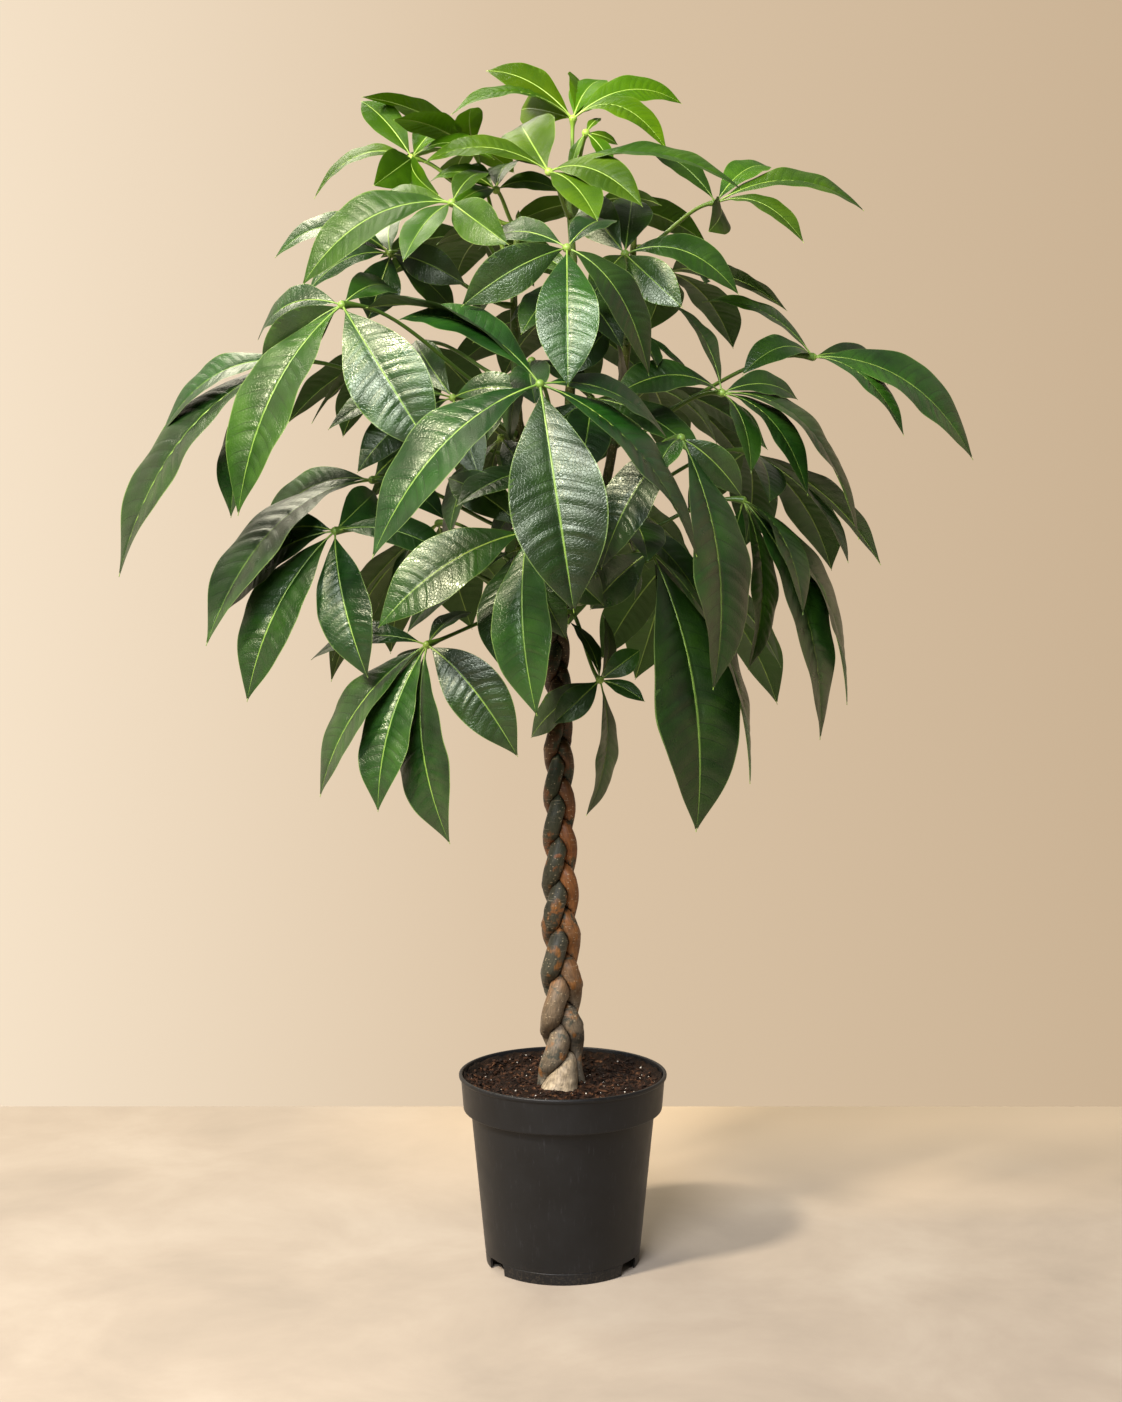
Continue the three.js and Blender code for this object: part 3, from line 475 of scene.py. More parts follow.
def plait_place(height, strand):
    """Where a trunk's middle runs in the plait, whose turns get shorter upwards, and down to its foot."""
    turn_here = TURN_AT_SOIL - TURN_LOSS * (height - SOIL_TOP)
    turn_at_notch = TURN_AT_SOIL - TURN_LOSS * (FIRST_NOTCH - SOIL_TOP)
    phase = -(2 * math.pi / TURN_LOSS) * math.log(turn_here / turn_at_notch)
    phase += STRANDS.index(strand) * (2 * math.pi / 3) - math.pi / 6
    phase -= SLOW_TO_RIGHT * math.sin(phase)
    across = PLAIT_ACROSS * math.sin(phase)
    deep = PLAIT_DEEP * math.sin(2 * phase) - LEFT_IN_FRONT * math.cos(phase)
    plaited = Vector((across, deep)) * taper_at(height) + Vector((PLAIT_LEAN * (height - SOIL_TOP), 0))
    return Vector(FEET[strand]).lerp(plaited, smoothstep(height, FEET_END, PLAIT_START))


def route_place(route, height):
    """A smooth line through a stem's route, worked out from the height."""
    row = 0
    while row < len(route) - 2 and height > route[row + 1][2] * MM:
        row += 1
    low = route[row][2] * MM
    span = route[row + 1][2] * MM - low
    share = min((height - low) / span, 1)
    place = Vector((0, 0))
    for axis in (0, 1):
        slopes = []
        for first, last in ((max(row - 1, 0), row + 1), (row, min(row + 2, len(route) - 1))):
            slopes.append((route[last][axis] - route[first][axis]) / (route[last][2] - route[first][2]))
        start = route[row][axis] * MM
        rise = route[row + 1][axis] * MM - start
        bend = share * (1 - share) * (
            slopes[0] * span * (1 - share) - slopes[1] * span * share + rise * (2 * share - 1))
        place[axis] = start + (slopes[0] * span * share if share < 0 else rise * share + bend)
    return place


def stem_place(height, strand):
    """Where a trunk's middle runs, in the plait and on its own way above it."""
    parted = smoothstep(height, PLAIT_TOP, PARTED_AT)
    return plait_place(height, strand).lerp(route_place(STEM_ROUTES[strand], height), parted)


def stem_top(strand):
    return STEM_ROUTES[strand][-1][2] * MM


def stem_radius(height, strand):
    flare = FRONT_FOOT_FLARE if strand == FRONT_STRAND else FOOT_FLARE
    foot = 1 + flare * math.exp(-(max(height, PLAIT_LOW) - PLAIT_LOW) / FOOT_HEIGHT)
    full = TRUNK_RADIUS * taper_at(height) * foot
    top = stem_top(strand)
    return mix(full, STEM_TIP_RADIUS, smoothstep(height, top - STEM_THINS_OVER, top))


def stem_lean(height, strand):
    """The level way that a trunk leans, and how much longer that makes its level slice."""
    lean = (stem_place(height + MM, strand) - stem_place(height - MM, strand)) / (2 * MM)
    lean_way = lean.normalized() if lean.length > 1e-6 else Vector((1, 0))
    return lean_way, math.sqrt(1 + lean.length_squared)


def squeezed(vector, lean_way, stretch):
    """A level vector in the frame in which a trunk's oval slice is round."""
    return Vector((vector.cross(lean_way), vector.dot(lean_way) / stretch))


def bark_relief(angle, height, strand, scars):
    """How far the bark stands out at a place: soft lumps, fine furrows, and the scars of fallen leaves."""
    shift = 7 * STRANDS.index(strand)
    round_trunk = Vector((math.cos(angle), math.sin(angle), 0))
    lumps = noise.noise(round_trunk * 0.9 + Vector((shift, 0, height * 42)))
    furrows = noise.noise(round_trunk * 4.5 + Vector((0, shift, height * 55)))
    fine = noise.noise(round_trunk * 9 + Vector((0, shift, height * 420)))
    out = BARK_LUMPS * lumps + BARK_FURROWS * furrows + BARK_GRAIN * fine
    for scar_angle, scar_height in scars:
        near = 1 - math.cos(angle - scar_angle)
        ring = math.exp(-((height - scar_height) / SCAR_RIDGE_HEIGHT) ** 2) * math.exp(-near * 0.9)
        above = height - scar_height - SCAR_KNOB_ABOVE
        knob = math.exp(-(above / SCAR_KNOB_HEIGHT) ** 2 - near * 9)
        out += SCAR_RIDGE * ring + SCAR_KNOB * knob
    return out


def stem_mesh(strand):
    """The trunk's skin, ring on ring. Its UV is in metres round and up the trunk, and its attributes say
    where it is pressed against a neighbour, how its bark has aged and where its pale root shows."""
    draw = random.Random(STRANDS.index(strand) + 5)
    scars = []
    scar_height = FIRST_SCAR
    while scar_height < stem_top(strand):
        scars.append((draw.uniform(0, 2 * math.pi), scar_height))
        scar_height += draw.uniform(*SCARS_APART)
    form = bmesh.new()
    uv_layer = form.loops.layers.uv.new("UVMap")
    pressed_layer = form.verts.layers.float.new("pressed")
    age_layer = form.verts.layers.float.new("age")
    pale_layer = form.verts.layers.float.new("pale")
    rows = round((stem_top(strand) - BURIED_TO) / BARK_STEP)
    rings = []
    for row in range(rows + 1):
        height = mix(BURIED_TO, stem_top(strand), row / rows)
        centre = stem_place(height, strand)
        lean_way, stretch = stem_lean(height, strand)
        radius = stem_radius(height, strand)
        near_scars = [scar for scar in scars if abs(scar[1] - height) < SCAR_REACH]
        age = 0.5 + noise.noise(Vector((13.7 * STRANDS.index(strand), 4.2, height * 15)))
        others = []
        for other in STRANDS:
            if other != strand and height < stem_top(other):
                apart = stem_place(height, other) - centre
                others.append((apart, stem_radius(height, other), *stem_lean(height, other)))
        ring = []
        for side in range(BARK_SIDES):
            angle = 2 * math.pi * side / BARK_SIDES
            way = Vector((math.cos(angle), math.sin(angle)))
            own_way = squeezed(way, lean_way, stretch)
            reach = radius / own_way.length
            pressed = 0
            for apart, other_radius, other_lean, other_stretch in others:
                other_way = squeezed(way, other_lean, other_stretch)
                other_apart = squeezed(apart, other_lean, other_stretch)
                difference = own_way.length_squared - other_way.length_squared
                toward = other_way.dot(other_apart)
                power = other_apart.length_squared + radius ** 2 - other_radius ** 2
                root = toward ** 2 + difference * power
                if root < 0 or toward + math.sqrt(root) < 1e-6:
                    continue
                meeting = power / (toward + math.sqrt(root)) - PRESS_GAP / 2
                pressed = max(pressed, smoothstep(reach - meeting, PRESSED_FROM, PRESSED_AT))
                reach = min(reach, meeting)
            reach += bark_relief(angle, height, strand, near_scars) * (1 - pressed)
            vertex = form.verts.new((*(centre + way * reach), height))
            vertex[pressed_layer] = pressed
            vertex[age_layer] = age
            vertex[pale_layer] = (strand == FRONT_STRAND) * (1 - smoothstep(height, *PALE_ROOT_ENDS))
            ring.append(vertex)
        rings.append(ring)
    for row, (low, high) in enumerate(zip(rings, rings[1:])):
        for side in range(BARK_SIDES):
            following = (side + 1) % BARK_SIDES
            face = form.faces.new([low[side], low[following], high[following], high[side]])
            for loop, (aside, above) in zip(face.loops, ((0, 0), (1, 0), (1, 1), (0, 1))):
                loop[uv_layer].uv = ((side + aside) / BARK_SIDES * BARK_GIRTH, (row + above) * BARK_STEP)
    foot = form.verts.new((*stem_place(BURIED_TO, strand), BURIED_TO))
    tip = form.verts.new((*stem_place(stem_top(strand), strand), stem_top(strand) + 2 * STEM_TIP_RADIUS))
    for side in range(BARK_SIDES):
        following = (side + 1) % BARK_SIDES
        form.faces.new([foot, rings[0][following], rings[0][side]])
        form.faces.new([tip, rings[-1][side], rings[-1][following]])
    mesh = mesh_of(form, f"stem_{strand}_shown")
    mesh.shade_smooth()
    return mesh


# Bark of a young Pachira: thin and smooth, grey at the foot, tan to orange-brown where it has weathered
# and olive where it is still green, with pale cork dots and level scars, and painted shade in the creases at
# the crossings.
bark, tree = start_material("young_pachira_bark")
place = add_node(tree, "ShaderNodeTexCoord")
height = (add_node(tree, "ShaderNodeSeparateXYZ", [(place, "Object")]), "Z")
patches = add_node(tree, "ShaderNodeTexNoise", {
    "Vector": (place, "Object"), "Scale": 1 / 0.040, "Detail": 4, "Roughness": 0.55, "Distortion": 0.6})
blotches = add_node(tree, "ShaderNodeTexNoise", {
    "Vector": (place, "Object"), "Scale": 1 / 0.014, "Detail": 5, "Roughness": 0.62, "Distortion": 0.4})
moved_height = add_node(tree, "ShaderNodeMath", [patches, 0.16, height], operation="MULTIPLY_ADD")
zone = add_node(tree, "ShaderNodeMapRange", [moved_height, 0.28, 1.28, 0, 1])
weathered = add_node(tree, "ShaderNodeValToRGB", [zone], stops=[
    (0.0, "#6c6558"), (0.10, "#685844"), (0.19, "#80532b"), (0.28, "#764723"), (0.38, "#4a2f17"),
    (0.56, "#362a15"), (0.75, "#4b4a22"), (1.0, "#6f8a35")])
green_grey = add_node(tree, "ShaderNodeValToRGB", [zone], stops=[
    (0.0, "#46463e"), (0.22, "#31382c"), (0.38, "#22301f"), (0.6, "#262b17"), (1.0, "#5d7a30")])
age = add_node(tree, "ShaderNodeAttribute", attribute_name="age")
aged_blotches = add_node(tree, "ShaderNodeMath", [(age, "Fac"), 0.55, blotches], operation="MULTIPLY_ADD")
patch_share = add_node(tree, "ShaderNodeMapRange", [aged_blotches, 0.78, 0.86, 0, 0.92])
skin_tone = add_node(tree, "ShaderNodeMix", [patch_share, weathered, green_grey], data_type="RGBA")
orange_noise = add_node(tree, "ShaderNodeTexNoise", {
    "Vector": (place, "Object"), "Scale": 1 / 0.019, "Detail": 3, "Roughness": 0.5})
orange_low = add_node(tree, "ShaderNodeMapRange", [height, 0.42, 0.50, 1, 0])
orange_spots = add_node(tree, "ShaderNodeMapRange", [orange_noise, 0.59, 0.68, 0, 0.7])
orange_share = add_node(tree, "ShaderNodeMath", [orange_low, orange_spots], operation="MULTIPLY")
with_orange = add_node(tree, "ShaderNodeMix", [orange_share, skin_tone, colour("#965f24")], data_type="RGBA")
uv = add_node(tree, "ShaderNodeUVMap", uv_map="UVMap")
long_grain = add_node(tree, "ShaderNodeMapping", {"Vector": uv, "Scale": (1 / 0.0011, 1 / 0.009, 1)})
grain = add_node(tree, "ShaderNodeTexNoise", {"Vector": long_grain, "Scale": 1, "Detail": 4})
grain_share = add_node(tree, "ShaderNodeMapRange", [grain, 0.35, 0.7, 0.6, 1.28])
level_lines = add_node(tree, "ShaderNodeMapping", {"Vector": uv, "Scale": (1 / 0.016, 1 / 0.0016, 1)})
lines = add_node(tree, "ShaderNodeTexNoise", {"Vector": level_lines, "Scale": 1, "Detail": 3})
line_share = add_node(tree, "ShaderNodeMapRange", [lines, 0.62, 0.72, 0, 0.45])
pale_noise = add_node(tree, "ShaderNodeTexNoise", {
    "Vector": (place, "Object"), "Scale": 1 / 0.006, "Detail": 4})
pale_tone = add_node(tree, "ShaderNodeValToRGB", [pale_noise],
                     stops=[(0.3, "#776a55"), (0.55, "#a09078"), (0.75, "#b9aa8f")])
pale = add_node(tree, "ShaderNodeAttribute", attribute_name="pale")
pale_edge = add_node(tree, "ShaderNodeMath", [patches, 0.5, (pale, "Fac")], operation="MULTIPLY_ADD")
pale_share = add_node(tree, "ShaderNodeMapRange", [pale_edge, 0.62, 0.82, 0, 1])
with_root = add_node(tree, "ShaderNodeMix", [pale_share, with_orange, pale_tone], data_type="RGBA")
grained = add_node(tree, "ShaderNodeVectorMath",
                   {"Vector": with_root, "Scale": grain_share}, operation="SCALE")
lined = add_node(tree, "ShaderNodeMix", [line_share, grained, colour("#a8977c")], data_type="RGBA")
dot_cells = add_node(tree, "ShaderNodeMapping", {"Vector": uv, "Scale": (1 / 0.0050, 1 / 0.0036, 1)})
dots = add_node(tree, "ShaderNodeTexVoronoi", {"Vector": dot_cells, "Scale": 1, "Randomness": 1})
dot_share = add_node(tree, "ShaderNodeMapRange", [(dots, "Distance"), 0.13, 0.20, 0.5, 0])
dotted = add_node(tree, "ShaderNodeMix", [dot_share, lined, colour("#b9a888")], data_type="RGBA")
# Painted shade: the bark is darkened towards near black where a trunk presses against its neighbour, in the
# crease between them.
pressed = add_node(tree, "ShaderNodeAttribute", attribute_name="pressed")
painted_crease_shade = add_node(tree, "ShaderNodeMapRange", [(pressed, "Fac"), 0.15, 1.0, 0, 0.85])
crease_shaded = add_node(tree, "ShaderNodeMix", [painted_crease_shade, dotted, colour("#1d140c")], data_type="RGBA")
bark_height = add_node(tree, "ShaderNodeMath", [dot_share, 0.6, grain], operation="MULTIPLY_ADD")
rings_height = add_node(tree, "ShaderNodeMath", [line_share, 0.8, bark_height], operation="MULTIPLY_ADD")
bump = add_node(tree, "ShaderNodeBump", {"Height": rings_height, "Strength": 0.75, "Distance": 0.0006})
dryness = add_node(tree, "ShaderNodeMapRange", [blotches, 0.3, 0.7, 0.44, 0.62])
shader = add_node(tree, "ShaderNodeBsdfPrincipled", {
    "Base Color": crease_shaded, "Roughness": dryness, "Specular IOR Level": 0.3, "Normal": bump})
add_node(tree, "ShaderNodeOutputMaterial", [shader])

for strand in STRANDS:
    stem = new_object(f"trunk_{strand}", stem_mesh(strand))
    stem.data.materials.append(bark)
    finish_piece(stem, f"stem_{strand}")

# Potting soil: damp peat and composted bark, heaped against the pot's wall to a little under its lip, with
# bark chips, root fibres and white perlite on it. It is tipped in loose and pressed down round the roots.
SOIL_MOUND = 0.005
MOUND_REACH = 0.060
CRUMBS_HIGH, FINE_CRUMBS_HIGH, GRIT_HIGH = 0.0024, 0.0018, 0.0008
ROLLING_HIGH, RIPPLES_HIGH = 0.0016, 0.0009
HOLLOWS_DEEP = 0.005
HOLLOWS_BELOW_TOP = 0.008
SOIL_AT_WALL = 0.216
HEAP_FROM = 0.8
FIT_GAP = 0.0004
SOIL_SEGMENTS = 200
SOIL_RINGS = 62
CHIP_DENSITY = 50000
FIBRE_DENSITY = 4200
PERLITE_DENSITY = 3800
LITTER_SHAPES = 5
LITTER_OFF_EDGE = 0.007
CHIP_SIZES = [(5, 11), (2.6, 5.2), (1.4, 2.6)]
PERLITE_SIZES = (1.1, 2.5)
FIBRE_LENGTHS = (10, 22)
FIBRE_RADIUS = 0.00042
FIBRE_BENDS = 7
FIBRE_THINS = 0.6
FIBRE_WANDER = (0.7, 0.35)
CRUMB_ROUGHNESS = 0.22
LITTER = [
    # kind, how far from level it may lie in radians, how much farther it stays from the wall
    ("Chips", 0.55, 0.0), ("Fibres", 0.25, 0.017), ("Perlite", 3.0, 0.0),
]


def soil_relief(x, y):
    """How far the soil stands above its level top: mounded, heaped at the wall, hollowed and crumbly."""
    out = math.hypot(x, y)
    mound = SOIL_MOUND * math.exp(-((out / MOUND_REACH) ** 2))
    heaped = max(out / soil_edge - HEAP_FROM, 0) / (1 - HEAP_FROM)
    heap = (SOIL_AT_WALL - SOIL_TOP) * heaped ** 0.9
    rolling = (ROLLING_HIGH * math.sin(x * 110 + 1.3) * math.cos(y * 130)
               + RIPPLES_HIGH * math.sin(x * 310 - y * 230))
    place = Vector((x, y, 0))
    crumbs = noise.noise(place * 110) * CRUMBS_HIGH + noise.noise(place * 260) * FINE_CRUMBS_HIGH
    grit = noise.noise(place * 620) * GRIT_HIGH
    hollows = noise.noise(place * 36) * HOLLOWS_DEEP * (1 - heaped)
    return mound + heap + rolling + crumbs + grit + hollows


inner = POT_WALL + FIT_GAP
rim_share = (SOIL_AT_WALL - BAND_LOW - BAND_STEP) / (RIM_TOP - BAND_LOW - BAND_STEP)
soil_edge = mix(BAND_RADIUS_LOW - inner, RIM_RADIUS - LIP_SPREAD - inner, rim_share)
soil_profile = [
    (0, FLOOR_TOP + FIT_GAP), (body_radius(FLOOR_TOP) - inner, FLOOR_TOP + FIT_GAP),
    (BODY_RADIUS_HIGH - inner, BAND_LOW + BAND_STEP / 2 + FIT_GAP),
    (BAND_RADIUS_LOW - inner - FIT_GAP, BAND_LOW + BAND_STEP + FIT_GAP),
]
for ring in range(SOIL_RINGS):
    soil_profile.append(((soil_edge - 2 * FIT_GAP) * (1 - ring / SOIL_RINGS), SOIL_TOP))
soil_profile.append((0, SOIL_TOP))
soil_mesh = turned_mesh("soil", soil_profile, SOIL_SEGMENTS)
for vertex in soil_mesh.vertices:
    if vertex.co.z > SOIL_TOP - MM:
        vertex.co.z += soil_relief(vertex.co.x, vertex.co.y)
soil_mesh.shade_smooth()


def crumb_mesh(name, size, draw):
    """A lump of few faces, size along, across and thick."""
    form = bmesh.new()
    bmesh.ops.create_uvsphere(form, u_segments=8, v_segments=4, radius=0.5)
    for vertex in form.verts:
        vertex.co *= 1 + draw.uniform(-CRUMB_ROUGHNESS, CRUMB_ROUGHNESS)
        vertex.co = Vector([part * length for part, length in zip(vertex.co, size)])
    return mesh_of(form, name)


def fibre_mesh(name, length, radius, draw):
    """A bent root hair with four sides."""
    form = bmesh.new()
    place = Vector((0, 0, 0))
    way = Vector((1, 0, 0))
    rings = []
    for step in range(FIBRE_BENDS + 1):
        thin = radius * (1 - FIBRE_THINS * step / FIBRE_BENDS)
        corners = ((0, thin), (thin, 0), (0, -thin), (-thin, 0))
        rings.append([form.verts.new(place + Vector((0, aside, up))) for aside, up in corners])
        way += Vector((0, *(draw.uniform(-most, most) for most in FIBRE_WANDER)))
        way.normalize()
        place = place + way * length / FIBRE_BENDS
    for low, high in zip(rings, rings[1:]):
        for side in range(4):
            following = (side + 1) % 4
            form.faces.new([low[side], low[following], high[following], high[side]])
    form.faces.new(list(reversed(rings[0])))
    form.faces.new(rings[-1])
    bmesh.ops.recalc_face_normals(form, faces=form.faces)
    return mesh_of(form, name)


def new_tree(name, inputs):
    """A geometry tree with its group sockets, and its input node. Inputs are (name, socket type)."""
    made = bpy.data.node_groups.new(name, "GeometryNodeTree")
    for label, kind in inputs:
        made.interface.new_socket(label, in_out="INPUT", socket_type=kind)
    made.interface.new_socket("Geometry", in_out="OUTPUT", socket_type="NodeSocketGeometry")
    return made, made.nodes.new("NodeGroupInput")


def run_tree(tree, holder, values):
    """Puts a geometry tree on an object with its inputs by name, and gives the mesh that it makes."""
    modifier = holder.modifiers.new(tree.name, "NODES")
    modifier.node_group = tree
    for socket in tree.interface.items_tree:
        if socket.in_out == "INPUT" and socket.name in values:
            modifier[socket.identifier] = values[socket.name]
    mesh = plain_mesh_of(holder)
    holder.modifiers.remove(modifier)
    return mesh


def collection_of(name, meshes):
    """A collection with an object for each mesh, from which a tree picks in the order of their names."""
    made = bpy.data.collections.new(name)
    scene.collection.children.link(made)
    for mesh in meshes:
        made.objects.link(bpy.data.objects.new(mesh.name, mesh))
    return made


def drop_collection(made):
    for helper in list(made.objects):
        bpy.data.objects.remove(helper)
    bpy.data.collections.remove(made)


soil_draw = random.Random(11)
litter_shapes = {kind: [] for kind, steep, off_edge in LITTER}
for index in range(LITTER_SHAPES):
    size = [soil_draw.uniform(*ends) * MM for ends in CHIP_SIZES]
    litter_shapes["Chips"].append(crumb_mesh(f"chip_{index}", size, soil_draw))
    fibre = fibre_mesh(f"fibre_{index}", soil_draw.uniform(*FIBRE_LENGTHS) * MM, FIBRE_RADIUS, soil_draw)
    litter_shapes["Fibres"].append(fibre)
    size = [soil_draw.uniform(*PERLITE_SIZES) * MM for axis in range(3)]
    litter_shapes["Perlite"].append(crumb_mesh(f"perlite_{index}", size, soil_draw))
collections = {kind: collection_of(kind, meshes) for kind, meshes in litter_shapes.items()}

# Damp peat: almost black where it is wet, red-brown where it has dried, and quite matt.
peat, tree = start_material("damp_peat")
place = add_node(tree, "ShaderNodeTexCoord")
crumbs = add_node(tree, "ShaderNodeTexNoise",
                  {"Vector": (place, "Object"), "Scale": 1 / 0.0042, "Detail": 7, "Roughness": 0.7})
dry = add_node(tree, "ShaderNodeTexNoise", {"Vector": (place, "Object"), "Scale": 1 / 0.028, "Detail": 3})
dry_lift = add_node(tree, "ShaderNodeMath", [dry, 0.35, crumbs], operation="MULTIPLY_ADD")
tone = add_node(tree, "ShaderNodeValToRGB", [dry_lift],
                stops=[(0.48, "#090502"), (0.68, "#170d06"), (0.88, "#2e1c0d")])
bump = add_node(tree, "ShaderNodeBump", {"Height": crumbs, "Strength": 0.9, "Distance": 0.002})
shader = add_node(tree, "ShaderNodeBsdfPrincipled", {
    "Base Color": tone, "Roughness": 0.88, "Specular IOR Level": 0.15, "Normal": bump})
add_node(tree, "ShaderNodeOutputMaterial", [shader])

# Composted bark chips and root fibres: brown, each a little different, with a dull fibrous skin.
chip_bark, tree = start_material("composted_bark")
place = add_node(tree, "ShaderNodeTexCoord")
each = add_node(tree, "ShaderNodeTexNoise", {"Vector": (place, "Object"), "Scale": 1 / 0.007, "Detail": 1})
tone = add_node(tree, "ShaderNodeValToRGB", [each],
                stops=[(0.30, "#120a05"), (0.48, "#211208"), (0.62, "#3c2414"), (0.76, "#62432b")])
fibres = add_node(tree, "ShaderNodeTexNoise", {"Vector": (place, "Object"), "Scale": 1 / 0.0009, "Detail": 3})
bump = add_node(tree, "ShaderNodeBump", {"Height": fibres, "Strength": 0.5, "Distance": 0.0004})
shader = add_node(tree, "ShaderNodeBsdfPrincipled", {
    "Base Color": tone, "Roughness": 0.8, "Specular IOR Level": 0.2, "Normal": bump})
add_node(tree, "ShaderNodeOutputMaterial", [shader])

# Perlite: volcanic glass puffed up by heat, so it is chalk white and pitted, with a little soil on it.
perlite, tree = start_material("expanded_perlite")
place = add_node(tree, "ShaderNodeTexCoord")
stain = add_node(tree, "ShaderNodeTexNoise", {"Vector": (place, "Object"), "Scale": 1 / 0.002, "Detail": 3})
tone = add_node(tree, "ShaderNodeValToRGB", [stain],
                stops=[(0.35, "#a89a86"), (0.55, "#ded8cb"), (0.75, "#efeae0")])
bump = add_node(tree, "ShaderNodeBump", {"Height": stain, "Strength": 0.5, "Distance": 0.0003})
shader = add_node(tree, "ShaderNodeBsdfPrincipled", {"Base Color": tone, "Roughness": 0.9, "Normal": bump})
add_node(tree, "ShaderNodeOutputMaterial", [shader])

soil_tree, given = new_tree("soil_litter", [
    ("Soil", "NodeSocketGeometry"), ("Chips", "NodeSocketCollection"), ("Fibres", "NodeSocketCollection"),
    ("Perlite", "NodeSocketCollection"), ("Chips per m2", "NodeSocketFloat"),
    ("Fibres per m2", "NodeSocketFloat"), ("Perlite per m2", "NodeSocketFloat"),
    ("Litter radius", "NodeSocketFloat")])
where = add_node(soil_tree, "GeometryNodeInputPosition")
parts = add_node(soil_tree, "ShaderNodeSeparateXYZ", [where])
flat = add_node(soil_tree, "ShaderNodeCombineXYZ", [(parts, "X"), (parts, "Y"), 0.0])
from_middle = add_node(soil_tree, "ShaderNodeVectorMath", [flat], operation="LENGTH")
on_top = add_node(soil_tree, "FunctionNodeCompare", [(parts, "Z"), SOIL_TOP - HOLLOWS_BELOW_TOP],
                  data_type="FLOAT", operation="GREATER_THAN")
layers = [given]
for order, (kind, steep, off_edge) in enumerate(LITTER):
    reach = add_node(soil_tree, "ShaderNodeMath", [(given, "Litter radius"), off_edge], operation="SUBTRACT")
    inside = add_node(soil_tree, "FunctionNodeCompare", [(from_middle, "Value"), reach],
                      data_type="FLOAT", operation="LESS_THAN")
    bare_top = add_node(soil_tree, "FunctionNodeBooleanMath", [inside, on_top], operation="AND")
    spots = add_node(soil_tree, "GeometryNodeDistributePointsOnFaces", {
        "Mesh": (given, "Soil"), "Selection": bare_top, "Density": (given, f"{kind} per m2"),
        "Seed": 20 + order})
    turn = add_node(soil_tree, "FunctionNodeRandomValue",
                    {"Min": (-steep, -steep, 0.0), "Max": (steep, steep, 2 * math.pi), "Seed": 31 + order},
                    data_type="FLOAT_VECTOR")
    grow = add_node(soil_tree, "FunctionNodeRandomValue", [0.55, 1.15, None, 41 + order], data_type="FLOAT")
    choice = add_node(soil_tree, "FunctionNodeRandomValue",
                      [0, LITTER_SHAPES - 1, None, 51 + order], data_type="INT")
    source = add_node(soil_tree, "GeometryNodeCollectionInfo",
                      {"Collection": (given, kind), "Separate Children": True, "Reset Children": True})
    laid = add_node(soil_tree, "GeometryNodeInstanceOnPoints", {
        "Points": (spots, "Points"), "Instance": source, "Pick Instance": True, "Instance Index": choice,
        "Rotation": turn, "Scale": grow})
    marked = add_node(soil_tree, "GeometryNodeStoreNamedAttribute",
                      {"Geometry": laid, "Name": "litter", "Value": float(order + 1)},
                      data_type="FLOAT", domain="INSTANCE")
    layers.append(marked)
joined = soil_tree.nodes.new("GeometryNodeJoinGeometry")
for layer in reversed(layers[1:]):
    soil_tree.links.new(layer.outputs[0], joined.inputs[0])
soil_tree.links.new(given.outputs["Soil"], joined.inputs[0])
last = add_node(soil_tree, "GeometryNodeRealizeInstances", {"Geometry": joined})
litter = add_node(soil_tree, "GeometryNodeInputNamedAttribute", {"Name": "litter"}, data_type="FLOAT")
for material, low in ((peat, -0.5), (chip_bark, 0.5), (perlite, 2.5)):
    chosen = add_node(soil_tree, "FunctionNodeCompare", [litter, low],
                      data_type="FLOAT", operation="GREATER_THAN")
    last = add_node(soil_tree, "GeometryNodeSetMaterial",
                    {"Geometry": last, "Selection": chosen, "Material": material})
add_node(soil_tree, "NodeGroupOutput", [last])

soil_work = new_object("soil_work", soil_mesh)
soil_shown = run_tree(soil_tree, soil_work, {
    **collections, "Chips per m2": CHIP_DENSITY, "Fibres per m2": FIBRE_DENSITY,
    "Perlite per m2": PERLITE_DENSITY, "Litter radius": soil_edge - LITTER_OFF_EDGE})
bpy.data.objects.remove(soil_work)
for made in collections.values():
    drop_collection(made)
soil = new_object("soil_and_litter", soil_shown)
finish_piece(soil, "potting_soil")

# Leaves: each is a round stalk that swells at both ends and, at its hub, spreads four to seven stalked
# blades like fingers. The upper skin is waxed, puffed up between the side veins, and the young ones at
# the top are thinner and let the light through. They grow from the stems and hang by their own weight.
STALK_RADIUS = 0.0023
STALK_END_RADIUS = 0.0036
HUB_RADIUS = 0.0046
LEAST_RIB_RADIUS = 0.0006
FOLD = 0.13
BOW = 0.1
BLADE_STARTS = 0.04
FOOT_POWER = 1.25
TIP_POWER = 1.05
TIP_DRAWN = 0.45
WIDTH_TO_LENGTH = 0.38
LEAN_OUT = 0.8
TRY_STEP = 22 * MM
DROOP_STEP = math.radians(8)
TRIES = 6

